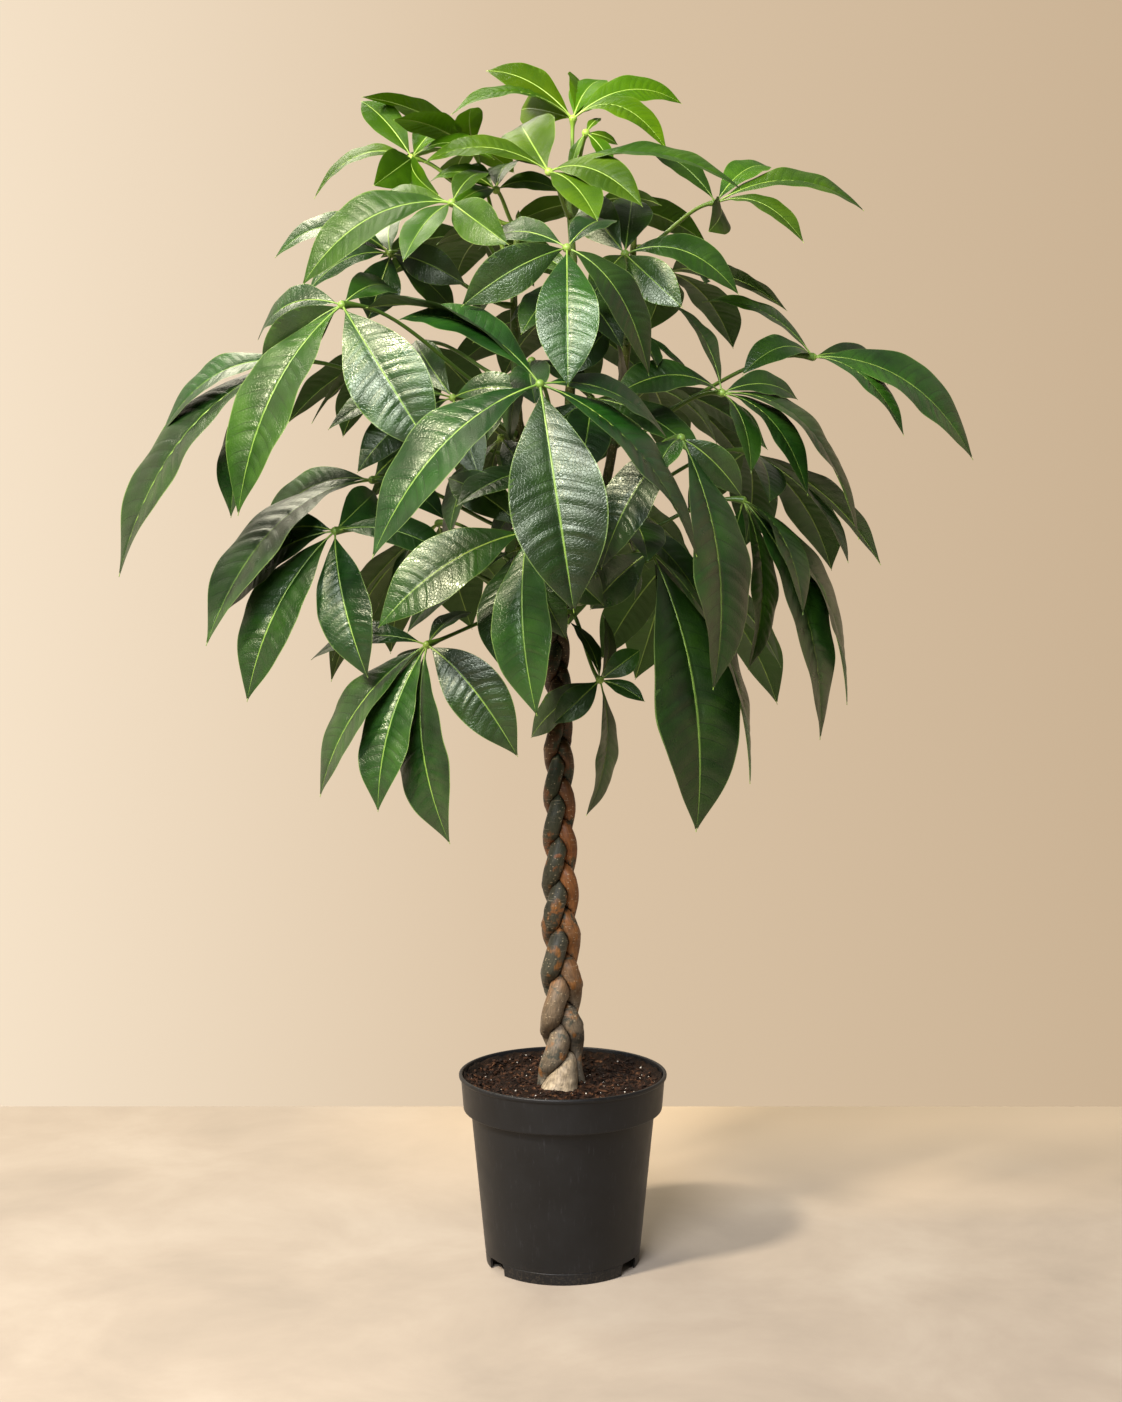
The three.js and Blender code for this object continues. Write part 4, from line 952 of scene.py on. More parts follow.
# The leaves that the photograph shows. A hub is (pixels across, pixels down, mm beyond the trunk). A
# blade is its tip's (pixels across, pixels down, mm beyond the hub, the width in pixels that shows, and
# the mm that it is lifted), as in the part's own source.
LEAVES = [
    ("leaf_front", "middle", (540, 384, -270), [
        (574, 613, -50, 97), (372, 559, -20, 60, 12), (697, 557, -10, 36, 8), (398, 320, 60, 30, 10),
        (366, 308, 90, 14, 8), (668, 440, 50, 24, 8)]),
    ("leaf_left", "left", (342, 305, -160), [
        (434, 455, -50, 78), (238, 516, -30, 54, 8), (262, 374, 30, 46, 10), (258, 340, 80, 28, 12),
        (395, 292, 100, 26, 4)]),
    ("leaf_front_high", "middle", (567, 248, -220), [
        (568, 387, -60, 62), (461, 307, -10, 46, 8), (478, 250, 70, 24, 8), (649, 376, 10, 38, 14),
        (612, 222, 90, 24)]),
    ("leaf_low_right_front", "right", (651, 551, -140), [
        (696, 832, -50, 78), (750, 784, 10, 26, 6), (590, 610, 30, 44, 6), (668, 640, 90, 34)]),
    ("leaf_low_left", "left", (427, 645, -100), [
        (450, 844, -60, 50), (378, 812, -40, 46), (518, 757, -20, 58, 14), (320, 797, 10, 34, 6),
        (311, 660, 40, 24, 6), (472, 612, 60, 12), (398, 688, 60, 22)]),
    ("leaf_lower_left", "left", (335, 531, -70), [
        (368, 678, -60, 55), (247, 702, -30, 50, 4), (226, 612, 20, 28, 8), (455, 562, -10, 30, 6),
        (375, 492, 80, 36), (262, 552, 60, 30, 10)]),
    ("leaf_right_front", "right", (681, 438, -190), [
        (713, 690, -60, 58), (601, 570, -10, 48, 6), (742, 497, 20, 34, 8), (655, 478, -90, 26)]),
    ("leaf_front_low", "middle", (528, 532, -150), [
        (537, 716, -60, 63), (378, 628, -10, 60, 10), (447, 478, 50, 40, 4), (604, 606, 20, 44)]),
    ("leaf_far_left", "left", (290, 362, -110), [
        (119, 577, -20, 36, 16), (161, 436, 20, 26, 14), (231, 518, -10, 34), (252, 402, 60, 28)]),
    ("leaf_far_right", "right", (813, 357, 60), [
        (973, 460, 30, 32, 16), (904, 436, -40, 20, 10), (888, 385, 60, 18, 8), (742, 375, -60, 25, 12),
        (702, 302, 20, 16, 8)]),
    ("leaf_right", "right", (722, 393, -70), [
        (859, 540, 10, 14, 28), (808, 496, -30, 18, 12), (798, 400, 50, 22, 6), (751, 474, -60, 22, 4),
        (612, 398, -60, 26, 10), (662, 300, 50, 18, 6)]),
    ("leaf_low_right", "right", (743, 500, 0), [
        (820, 740, -20, 46, 8), (847, 705, 60, 22, 10), (803, 615, -90, 22, 8), (748, 670, -70, 30),
        (690, 600, 80, 36)]),
    ("leaf_left_high", "left", (452, 203, -130), [
        (509, 245, -60, 42), (302, 286, 10, 36, 14), (349, 232, 60, 24, 8), (403, 262, -70, 28),
        (486, 172, 70, 20)]),
    ("leaf_right_high", "right", (625, 254, -90), [
        (739, 295, -10, 26, 14), (683, 308, -50, 40), (583, 200, 60, 42), (632, 199, 80, 44),
        (590, 300, -60, 30)]),
    ("leaf_right_top", "right", (716, 203, 10), [
        (864, 211, 30, 13, 12), (804, 243, -50, 16, 10), (771, 168, 70, 24, 6), (646, 150, 30, 24, 4),
        (708, 232, -90, 20)]),
    ("leaf_left_middle", "left", (453, 398, -60), [
        (328, 430, 30, 24, 8), (357, 473, -20, 36, 6), (415, 340, 60, 34), (528, 390, -40, 30, 4),
        (480, 480, -50, 38)]),
    ("leaf_inner_left", "left", (391, 254, -40), [
        (308, 292, -10, 22, 8), (275, 258, 30, 22, 20), (311, 249, 60, 20, 6), (368, 320, -60, 42),
        (466, 285, -40, 36, 6), (455, 312, 40, 30), (395, 222, 80, 24)]),
    ("leaf_left_top", "left", (412, 158, 10), [
        (361, 101, 40, 28), (373, 186, -70, 38), (314, 199, 20, 10, 14), (495, 160, -50, 18, 8),
        (450, 128, 90, 24), (440, 196, -80, 24)]),
    ("leaf_crown", "middle", (573, 119, 0), [
        (682, 104, 20, 20, 12), (667, 150, -60, 21, 18), (603, 80, 80, 24), (578, 82, 110, 34),
        (486, 71, 30, 25, 4), (521, 110, 90, 34), (451, 115, -20, 13, 14)]),
    ("leaf_lime", "middle", (549, 172, -80), [
        (521, 125, 90, 62), (643, 207, -60, 30, 10), (742, 190, -20, 14, 8), (424, 163, 10, 16, 8),
        (598, 222, -90, 30)]),
    ("leaf_upper_left", "left", (496, 190, -25), [
        (560, 192, -40, 18, 6), (466, 166, 60, 20), (452, 208, -60, 18), (514, 164, 80, 20),
        (430, 182, 30, 16, 8)]),
    ("leaf_fold_left", "left", (372, 480, 0), [
        (206, 646, -20, 36, 18), (262, 540, 50, 26, 14), (420, 440, 70, 30), (445, 520, -50, 30, 6)]),
    ("leaf_low_small", "right", (600, 680, -60), [
        (586, 816, -30, 18), (553, 724, -20, 30), (531, 738, 50, 30), (570, 622, 40, 14),
        (602, 613, 60, 12), (640, 650, 10, 26), (645, 702, -20, 16)]),
    ("leaf_bud", "middle", (586, 133, -25), [
        (572, 172, -15, 10), (612, 168, -20, 13), (618, 145, 15, 9), (601, 118, 20, 8)]),
]

# The leaves that the photograph doesn't show are laid out by a rule, from low to high: those round the
# back of the crown, and the small dark ones close to the stems inside it. Angles are in degrees.
RULED_LEAVES = [
    {"name": "leaf_back", "count": 12, "blades": 6, "yaws": (14, 166), "heights": (0.790, 1.290),
     "reaches": (0.235, 0.095), "blade_length": 0.225, "droops": (52, 8), "lean_out": 0.5},
    {"name": "leaf_inner", "count": 9, "blades": 4, "yaws": (194, 346), "heights": (0.800, 1.170),
     "reaches": (0.078, 0.048), "blade_length": 0.172, "droops": (60, 30), "lean_out": 0.8},
]
WIDEST_AT = 0.3
SIZES = (1.05, 0.62)
FAN = math.radians(105)
FAN_SHORTENS = 0.34
LENGTH_DRAW = 0.2
DROOP_DRAW = math.radians(14)
GOLDEN = 0.618034
FIRST_TURN = 0.2
SIDE_STEM_FROM = 0.5
UP = Vector((0, 0, 1))


def chance(seed):
    """The same number between 0 and 1 each time for the same seed."""
    wave = math.sin(seed * 12.9898) * 43758.5453
    return wave - math.floor(wave)


def seen_at(across, down, beyond):
    """The point `beyond` the trunk that is seen at a pixel of the photograph."""
    rise = (MIDDLE_DOWN - down) / FOCAL_PIXELS
    run = beyond - EYE.y
    cos, sin = math.cos(LENS_TILT), math.sin(LENS_TILT)
    lift = run * (rise * cos - sin) / (cos + rise * sin)
    depth = run * cos - lift * sin
    return Vector((EYE.x + (across - MIDDLE_ACROSS) * depth / FOCAL_PIXELS, beyond, EYE.z + lift))


def bent_blade(hub, tip, normal, width, lift=0):
    """A blade's line as the four points of a cubic curve, with its facing and half of its width."""
    bend = hub.lerp(tip, 0.5) + normal * (2 * BOW * (tip - hub).length)
    bend.z += 2 * lift
    return {"line": (hub, hub.lerp(bend, 2 / 3), tip.lerp(bend, 2 / 3), tip),
            "face": normal, "half_width": width / 2}


def seen_blade(hub_pixel, blade, moved):
    """A blade of a leaf in the photograph: from its hub to its tip, turned until it shows its width."""
    across, down, beyond, shows, *lifted = blade
    hub = seen_at(hub_pixel[0], hub_pixel[1], hub_pixel[2] * MM)
    tip = seen_at(across, down, (hub_pixel[2] + beyond) * MM + moved * TRY_STEP)
    chord = tip - hub
    length = chord.length
    chord.normalize()
    middle = hub.lerp(tip, 0.5)
    ray = middle - EYE
    shown = shows * ray.length / FOCAL_PIXELS
    ray.normalize()
    width = max(shown, WIDTH_TO_LENGTH * length)
    level = chord.cross(ray).normalized()
    facing = chord.cross(level).normalized()
    skyward = Vector((middle.x, middle.y, 0)).normalized() * LEAN_OUT + UP
    tilt = math.acos(min(1, shown / width)) * (-1 if level.dot(skyward) < 0 else 1)
    normal = facing * math.cos(tilt) + level * math.sin(tilt)
    return bent_blade(hub, tip, normal, width, lifted[0] * MM if lifted else 0)


def ruled_blade(leaf, turn, droop, length, moved):
    """A blade of a ruled leaf: blades fan out from the hub and hang by their own weight."""
    yaw = leaf["yaw"] + turn
    droop = leaf["droop"] + droop + DROOP_STEP * moved
    chord = Vector((math.cos(yaw) * math.cos(droop), math.sin(yaw) * math.cos(droop), -math.sin(droop)))
    outward = Vector((math.cos(leaf["yaw"]), math.sin(leaf["yaw"]), 0))
    across = chord.cross(outward * leaf["lean_out"] + UP).normalized()
    normal = across.cross(chord).normalized()
    return bent_blade(leaf["hub"], leaf["hub"] + chord * length, normal, length * WIDTH_TO_LENGTH)


# Stalks: where one may leave its stem, how deep its foot is seated, and how it bends, as shares of how
# far aside and up its hub is.
STALK_DROP = 0.35
STALK_START = 0.3
STALK_START_LEAST = 0.009
STALK_ARRIVAL = 0.34
STALK_HANG = 0.1
STALK_CLIMB = 0.35
JOINT_LOWEST = 0.760
JOINT_STEP = 0.009
JOINT_BELOW_TOP = 0.005
SEAT_DEEPEST = -1 * MM
SEAT_PROUDEST = 3 * MM
SEAT_STEP = 0.15 * MM
SAME_POINT = 0.02 * MM


def stalk_line(stem, joint, hub, clear):
    """A stalk starts square to its stem, arches out and ends in the hub."""
    centre = stem_place(joint, stem)
    out = Vector((hub.x - centre.x, hub.y - centre.y, 0))
    aside = out.length
    climb = max(hub.z - joint, 0)
    out.normalize()
    start = Vector((centre.x, centre.y, joint)) + out * (stem_radius(joint, stem) + clear)
    rising = start + out * max(STALK_START * aside, STALK_START_LEAST)
    hang = STALK_HANG * aside - STALK_CLIMB * climb * climb / math.hypot(aside, climb)
    arriving = hub - out * STALK_ARRIVAL * aside + UP * hang
    return start, rising, arriving, hub


def steps_outward(count):
    """0, -1, 1, -2, 2 and so on."""
    return [-(step + 1) // 2 if step % 2 else step // 2 for step in range(2 * count + 1)]


def leaf_plans():
    """Every leaf as its name, stem, hub and, for each blade, the shapes that it may have been given."""
    plans = []
    for name, stem, hub, blades in LEAVES:
        choices = [[seen_blade(hub, blade, moved) for moved in steps_outward(TRIES)] for blade in blades]
        plans.append({"name": name, "stem": stem, "hub": seen_at(hub[0], hub[1], hub[2] * MM),
                      "choices": choices})
    for order, rule in enumerate(RULED_LEAVES):
        for index in range(rule["count"]):
            rise = (index + 0.5) / rule["count"]
            yaw = math.radians(mix(*rule["yaws"], (index * GOLDEN + FIRST_TURN) % 1))
            reach = mix(*rule["reaches"], abs(rise - WIDEST_AT) / (1 - WIDEST_AT))
            aside = Vector((math.cos(yaw), math.sin(yaw), 0)) * reach
            stem = "middle"
            if abs(math.cos(yaw)) > SIDE_STEM_FROM:
                stem = "right" if math.cos(yaw) > 0 else "left"
            leaf = {"name": f"{rule['name']}_{index + 1}", "stem": stem, "yaw": yaw,
                    "droop": math.radians(mix(*rule["droops"], rise)), "lean_out": rule["lean_out"],
                    "hub": aside + UP * mix(*rule["heights"], rise), "choices": []}
            for place in range(rule["blades"]):
                fan = 2 * place / (rule["blades"] - 1) - 1
                drawn = chance(100 * order + index * rule["blades"] + place + 1) - 0.5
                length = rule["blade_length"] * mix(*SIZES, rise) * (1 - FAN_SHORTENS * fan * fan)
                length *= 1 + LENGTH_DRAW * drawn
                leaf["choices"].append([
                    ruled_blade(leaf, fan * FAN, DROOP_DRAW * drawn, length, moved)
                    for moved in steps_outward(TRIES)])
            plans.append(leaf)
    return plans


def corner_finder(node):
    """A test of whether a point is a corner of a CAD node, which tells the shape that the part gave it."""
    corners = frame["nodes"][node].data.vertices
    tree = kdtree.KDTree(len(corners))
    for corner in corners:
        tree.insert(corner.co, corner.index)
    tree.balance()
    return lambda point: tree.find(point)[2] < SAME_POINT


def chosen_stalk(leaf, is_corner):
    """The stalk's line for the joint and clearance whose first corners the CAD node has."""
    centre = stem_place(leaf["hub"].z, leaf["stem"])
    aside = math.hypot(leaf["hub"].x - centre.x, leaf["hub"].y - centre.y)
    highest = stem_top(leaf["stem"]) - 2 * STEM_TIP_RADIUS
    wanted = min(max(leaf["hub"].z - STALK_DROP * aside, JOINT_LOWEST), highest - JOINT_BELOW_TOP)
    best = None
    for step in steps_outward(2 * TRIES):
        joint = wanted + step * JOINT_STEP
        if joint > highest:
            continue
        clear = SEAT_DEEPEST
        while clear < SEAT_PROUDEST:
            line = stalk_line(leaf["stem"], joint, leaf["hub"], clear)
            best = best or line
            way = (line[1] - line[0]).normalized()
            across = way.cross(UP).normalized()
            if is_corner(line[0] + across * STALK_END_RADIUS):
                return line
            clear += SEAT_STEP
    print(f"no corner found for the stalk of {leaf['name']}")
    return best


def width_share(along):
    """Half of a blade's width, as a share of the widest: a narrow foot, an oval and a drawn-out tip."""
    part = max((along - BLADE_STARTS) / (1 - BLADE_STARTS), 0)
    widest_at = FOOT_POWER / (FOOT_POWER + TIP_POWER)
    oval = (part / widest_at) ** FOOT_POWER * ((1 - part) / (1 - widest_at)) ** TIP_POWER
    return oval * (1 - TIP_DRAWN * part ** 12)


# A blade's skin: its side veins, how far they sweep forward and how unevenly they lie, and, in half
# widths, how thick it is, how it bulges beside the rib, puffs up between two veins, ruffles and crumples
VEIN_PAIRS = 16
VEIN_SWEEP = 0.085
VEIN_DRAW = 0.26
LEAST_WIDTH = 0.03
SKIN_THICKNESS = 0.016
BULGE = 0.022
PUFF = 0.031
RUFFLE = 0.16
CRUMPLE = 0.022
COLUMN_CROWDING = 1.3


def blade_mesh(name, columns, rows_per_vein, draw):
    """One flat-lying blade to be bent into place: X in half widths, Y from hub to tip, Z in half widths.
    Its rows follow the side veins, so each vein is a crease and the skin between two is puffed up."""
    form = bmesh.new()
    uv_layer = form.loops.layers.uv.new("UVMap")
    upper_layer = form.faces.layers.float.new("upper")
    rows = VEIN_PAIRS * rows_per_vein
    shift = draw.uniform(0, 50)
    moves = [0, *(draw.uniform(-VEIN_DRAW, VEIN_DRAW) for vein in range(VEIN_PAIRS - 1)), 0]
    tops = []
    unders = []
    for row in range(1, rows):
        vein, part = divmod(row, rows_per_vein)
        part /= rows_per_vein
        share = (vein + part + mix(moves[vein], moves[min(vein + 1, VEIN_PAIRS)], part)) / VEIN_PAIRS
        top_row = []
        under_row = []
        for column in range(-columns, columns + 1):
            across = math.copysign((abs(column) / columns) ** COLUMN_CROWDING, column)
            out = abs(across)
            along = share + VEIN_SWEEP * out ** 1.5 * 4 * share * (1 - share)
            width = max(width_share(along), LEAST_WIDTH)
            side = shift + (7 if column > 0 else 0)
            swell = 0.85 + 0.9 * noise.noise(Vector((side, vein * 1.7, out * 0.9)))
            puff = PUFF * math.sin(math.pi * part) ** 0.7 * swell * min(1, out / 0.1) * (1 - out ** 3)
            bulge = BULGE * math.sin(math.pi * out ** 0.75)
            ruffle = RUFFLE * out ** 3 * noise.noise(Vector((side, along * 5.5, 3)))
            crumple = CRUMPLE * noise.noise(Vector((side + 3 * across, along * 9, 8))) * out
            up = (FOLD * out + bulge + puff + ruffle + crumple) * width
            place = Vector((across * width, along, up))
            edge = abs(column) == columns
            lift = Vector((0, 0, SKIN_THICKNESS / 2))
            top = form.verts.new(place if edge else place + lift)
            under = top if edge else form.verts.new(place - lift)
            top_row.append(top)
            under_row.append(under)
        tops.append(top_row)
        unders.append(under_row)
    for is_upper, sheet in ((1, tops), (0, unders)):
        for row in range(len(sheet) - 1):
            for column in range(2 * columns):
                corners = [(row, column), (row, column + 1), (row + 1, column + 1), (row + 1, column)]
                if not is_upper:
                    corners.reverse()
                face = form.faces.new([sheet[r][c] for r, c in corners])
                face[upper_layer] = is_upper
                for loop, (r, c) in zip(face.loops, corners):
                    side = (c - columns) / columns
                    across = math.copysign(abs(side) ** COLUMN_CROWDING, side)
                    loop[uv_layer].uv = (across / 2 + 0.5, (r + 1) / rows)
    for end, order in ((0, 1), (-1, -1)):
        foot = tops[end] + list(reversed(unders[end][1:-1]))
        face = form.faces.new(foot[::-order])
        face[upper_layer] = 1
        for loop in face.loops:
            loop[uv_layer].uv = (0.5, 0 if end == 0 else 1)
    bmesh.ops.triangulate(form, faces=[face for face in form.faces if len(face.verts) > 4])
    for face in form.faces:
        face.smooth = True
    for edge in form.edges:
        edge.smooth = len({face[upper_layer] for face in edge.link_faces}) == 1
    return mesh_of(form, name)


# Waxed leaf skin: deep green with a silvery sheen when grown, lime and duller when young, and paler and
# matt below. Side veins are fine creases darkened with painted shade, a net of finer ones roughens it, and
# light shines through.
SKIN_TONES = {
    # what, when grown, when young
    # The vein tones are painted shade, darkening the creases of the side veins.
    "vein": ("#0d2206", "#3c6a10"), "rib": ("#86ad4a", "#8fb52f"), "edge": ("#7d9a4e", "#a9c840"),
    "underside": ("#55713a", "#6b9208"), "wax": ("#ecf4de", "#3a4606"), "glow": ("#345a0a", "#9cbc02"),
}
leaf_skin, tree = start_material("waxed_leaf_skin")
place = add_node(tree, "ShaderNodeTexCoord")
uv = add_node(tree, "ShaderNodeUVMap", uv_map="UVMap")
uv_parts = add_node(tree, "ShaderNodeSeparateXYZ", [uv])
youth = add_node(tree, "ShaderNodeAttribute", attribute_name="youth")
tones = {what: add_node(tree, "ShaderNodeMix", [(youth, "Fac"), *map(colour, pair)], data_type="RGBA")
         for what, pair in SKIN_TONES.items()}
seed = add_node(tree, "ShaderNodeAttribute", attribute_name="seed")
upper = add_node(tree, "ShaderNodeAttribute", attribute_name="upper")
aside = add_node(tree, "ShaderNodeMath", [(uv_parts, "X"), 2.0, -1.0], operation="MULTIPLY_ADD")
outward = add_node(tree, "ShaderNodeMath", [aside], operation="ABSOLUTE")
vein_run = add_node(tree, "ShaderNodeMath", [(uv_parts, "Y"), float(VEIN_PAIRS)], operation="MULTIPLY")
vein_part = add_node(tree, "ShaderNodeMath", [vein_run], operation="FRACT")
vein_off = add_node(tree, "ShaderNodeMath", [vein_part, 0.5], operation="SUBTRACT")
vein_near = add_node(tree, "ShaderNodeMath", [vein_off], operation="ABSOLUTE")
vein_line = add_node(tree, "ShaderNodeMapRange", [vein_near, 0.45, 0.495, 0, 1])
vein_fade = add_node(tree, "ShaderNodeMapRange", [outward, 0.55, 0.98, 1, 0.15])
vein_share = add_node(tree, "ShaderNodeMath", [vein_line, vein_fade], operation="MULTIPLY")
rib_share = add_node(tree, "ShaderNodeMapRange", [outward, 0.012, 0.034, 0.7, 0])
tone = add_node(tree, "ShaderNodeTexNoise",
                {"Vector": (place, "Object"), "Scale": 1 / 0.05, "Detail": 4, "Roughness": 0.55})
grown_tone = add_node(tree, "ShaderNodeValToRGB", [tone],
                      stops=[(0.3, "#0f280a"), (0.5, "#173a0d"), (0.72, "#284f12")])
young_tone = add_node(tree, "ShaderNodeValToRGB", [tone],
                      stops=[(0.3, "#467402"), (0.5, "#5c8803"), (0.72, "#769e06")])
skin_tone = add_node(tree, "ShaderNodeMix", [(youth, "Fac"), grown_tone, young_tone], data_type="RGBA")
brightness = add_node(tree, "ShaderNodeMapRange", [(seed, "Fac"), 0, 1, 0.66, 1.24])
hue_moves = add_node(tree, "ShaderNodeMath", [(seed, "Fac"), 7.31], operation="MULTIPLY")
hue_part = add_node(tree, "ShaderNodeMath", [hue_moves], operation="FRACT")
hue = add_node(tree, "ShaderNodeMapRange", [hue_part, 0, 1, 0.485, 0.515])
varied = add_node(tree, "ShaderNodeHueSaturation", {"Hue": hue, "Value": brightness, "Color": skin_tone})
# Painted shade: the blade is darkened along the side-vein lines, where the creases lie.
vein_shade_mix = add_node(tree, "ShaderNodeMath", [vein_share, 0.8], operation="MULTIPLY")
vein_shaded = add_node(tree, "ShaderNodeMix", [vein_shade_mix, varied, tones["vein"]], data_type="RGBA")
ribbed = add_node(tree, "ShaderNodeMix", [rib_share, vein_shaded, tones["rib"]], data_type="RGBA")
edge_share = add_node(tree, "ShaderNodeMapRange", [outward, 0.965, 0.985, 0, 0.55])
edged = add_node(tree, "ShaderNodeMix", [edge_share, ribbed, tones["edge"]], data_type="RGBA")
under_tone = add_node(tree, "ShaderNodeMix", [0.42, edged, tones["underside"]], data_type="RGBA")
sided = add_node(tree, "ShaderNodeMix", [(upper, "Fac"), under_tone, edged], data_type="RGBA")
net = add_node(tree, "ShaderNodeTexVoronoi",
               {"Vector": (place, "Object"), "Scale": 1 / 0.0034, "Randomness": 0.9},
               feature="DISTANCE_TO_EDGE")
net_line = add_node(tree, "ShaderNodeMapRange", [net, 0.0, 0.12, 0, 1])
vein_dip = add_node(tree, "ShaderNodeMath", [vein_share, -1.3, net_line], operation="MULTIPLY_ADD")
bump = add_node(tree, "ShaderNodeBump", {"Height": vein_dip, "Strength": 0.22, "Distance": 0.0007})
gloss_cloud = add_node(tree, "ShaderNodeTexNoise",
                       {"Vector": (place, "Object"), "Scale": 1 / 0.018, "Detail": 3})
gloss = add_node(tree, "ShaderNodeMapRange", [gloss_cloud, 0.3, 0.7, 0.27, 0.42])
aged_gloss = add_node(tree, "ShaderNodeMix", [(youth, "Fac"), gloss, 0.56], data_type="FLOAT")
dullness = add_node(tree, "ShaderNodeMix", [(upper, "Fac"), 0.60, aged_gloss], data_type="FLOAT")
sided_tint = add_node(tree, "ShaderNodeMix", [(upper, "Fac"), colour("#88947e"), tones["wax"]],
                      data_type="RGBA")
shader = add_node(tree, "ShaderNodeBsdfPrincipled",
                  {"Base Color": sided, "Roughness": dullness, "IOR": 1.5, "Specular IOR Level": 0.95,
                   "Specular Tint": sided_tint, "Normal": bump})
through = add_node(tree, "ShaderNodeBsdfTranslucent", {"Color": tones["glow"], "Normal": bump})
thinness = add_node(tree, "ShaderNodeMix", [(youth, "Fac"), 0.12, 0.6], data_type="FLOAT")
both = add_node(tree, "ShaderNodeMixShader", [thinness, shader, through])
add_node(tree, "ShaderNodeOutputMaterial", [both])

# Stalk and midrib skin: smooth with a soft shine, pale yellow-green on the blades and deeper green on the
# stalks that carry them.
rib_skin, tree = start_material("green_stalk_skin")
place = add_node(tree, "ShaderNodeTexCoord")
youth = add_node(tree, "ShaderNodeAttribute", attribute_name="youth")
tone = add_node(tree, "ShaderNodeTexNoise", {"Vector": (place, "Object"), "Scale": 1 / 0.02, "Detail": 3})
grown_tone = add_node(tree, "ShaderNodeValToRGB", [tone], stops=[(0.3, "#5c7f2e"), (0.7, "#8aa648")])
young_tone = add_node(tree, "ShaderNodeValToRGB", [tone], stops=[(0.3, "#9fc246"), (0.7, "#c3dc6a")])
rib_tone = add_node(tree, "ShaderNodeMix", [(youth, "Fac"), grown_tone, young_tone], data_type="RGBA")
stalk = add_node(tree, "ShaderNodeAttribute", attribute_name="stalk")
stalk_tone = add_node(tree, "ShaderNodeMix", [(youth, "Fac"), colour("#4a6820"), colour("#86a836")],
                      data_type="RGBA")
round_tone = add_node(tree, "ShaderNodeMix", [(stalk, "Fac"), rib_tone, stalk_tone], data_type="RGBA")
streaks = add_node(tree, "ShaderNodeTexNoise",
                   {"Vector": (place, "Object"), "Scale": 1 / 0.0016, "Detail": 2})
bump = add_node(tree, "ShaderNodeBump", {"Height": streaks, "Strength": 0.2, "Distance": 0.0002})
shader = add_node(tree, "ShaderNodeBsdfPrincipled",
                  {"Base Color": round_tone, "Roughness": 0.42, "IOR": 1.46, "Normal": bump})
add_node(tree, "ShaderNodeOutputMaterial", [shader])

LINE_POINTS = ["line_from", "line_leave", "line_arrive", "line_to"]


def add_line_nodes(tree, along):
    """Nodes that give a line's place and way at a share of its length, from its four points."""
    points = [add_node(tree, "GeometryNodeInputNamedAttribute", {"Name": name}, data_type="FLOAT_VECTOR")
              for name in LINE_POINTS]
    while len(points) > 2:
        points = [add_node(tree, "ShaderNodeMix", [along, *pair], data_type="VECTOR")
                  for pair in zip(points, points[1:])]
    place = add_node(tree, "ShaderNodeMix", [along, *points], data_type="VECTOR")
    chord = add_node(tree, "ShaderNodeVectorMath", [points[1], points[0]], operation="SUBTRACT")
    way = add_node(tree, "ShaderNodeVectorMath", [chord], operation="NORMALIZE")
    return place, way


STALK_WIDTH_UNDER = 0.0005
leaf_tree, given = new_tree("compound_leaf", [
    ("Lines", "NodeSocketGeometry"), ("Blades", "NodeSocketCollection"),
    ("Least rib radius", "NodeSocketFloat"), ("Stalk radius", "NodeSocketFloat"),
    ("Hub radius", "NodeSocketFloat")])
half_width, facing, twist, which, along, hub_place, is_round = [
    add_node(leaf_tree, "GeometryNodeInputNamedAttribute", {"Name": name}, data_type=kind)
    for name, kind in (("half_width", "FLOAT"), ("face", "FLOAT_VECTOR"), ("twist", "FLOAT"),
                       ("which", "INT"), ("along", "FLOAT"), ("line_to", "FLOAT_VECTOR"),
                       ("round", "BOOLEAN"))]
is_blade = add_node(leaf_tree, "FunctionNodeCompare", [half_width, STALK_WIDTH_UNDER],
                    data_type="FLOAT", operation="GREATER_THAN")

# Blades: a ready blade stands at each blade line, and its rows are carried to their places on the line
shapes = add_node(leaf_tree, "GeometryNodeCollectionInfo",
                  {"Collection": (given, "Blades"), "Separate Children": True, "Reset Children": True})
laid = add_node(leaf_tree, "GeometryNodeInstanceOnPoints", {
    "Points": (given, "Lines"), "Selection": is_blade, "Instance": shapes, "Pick Instance": True,
    "Instance Index": which})
flat_blades = add_node(leaf_tree, "GeometryNodeRealizeInstances", {"Geometry": laid})
flat = add_node(leaf_tree, "ShaderNodeSeparateXYZ", [add_node(leaf_tree, "GeometryNodeInputPosition")])
place, way = add_line_nodes(leaf_tree, (flat, "Y"))
level = add_node(leaf_tree, "ShaderNodeVectorMath", [way, facing], operation="CROSS_PRODUCT")
twist_here = add_node(leaf_tree, "ShaderNodeMath", [(flat, "Y"), twist], operation="MULTIPLY")
across = add_node(leaf_tree, "ShaderNodeVectorRotate",
                  {"Vector": add_node(leaf_tree, "ShaderNodeVectorMath", [level], operation="NORMALIZE"),
                   "Axis": way, "Angle": twist_here}, rotation_type="AXIS_ANGLE")
above = add_node(leaf_tree, "ShaderNodeVectorMath", [across, way], operation="CROSS_PRODUCT")
aside_share = add_node(leaf_tree, "ShaderNodeMath", [(flat, "X"), half_width], operation="MULTIPLY")
above_share = add_node(leaf_tree, "ShaderNodeMath", [(flat, "Z"), half_width], operation="MULTIPLY")
go_aside = add_node(leaf_tree, "ShaderNodeVectorMath",
                    {"Vector": across, "Scale": aside_share}, operation="SCALE")
go_above = add_node(leaf_tree, "ShaderNodeVectorMath",
                    {"Vector": above, "Scale": above_share}, operation="SCALE")
beside = add_node(leaf_tree, "ShaderNodeVectorMath", [place, go_aside], operation="ADD")
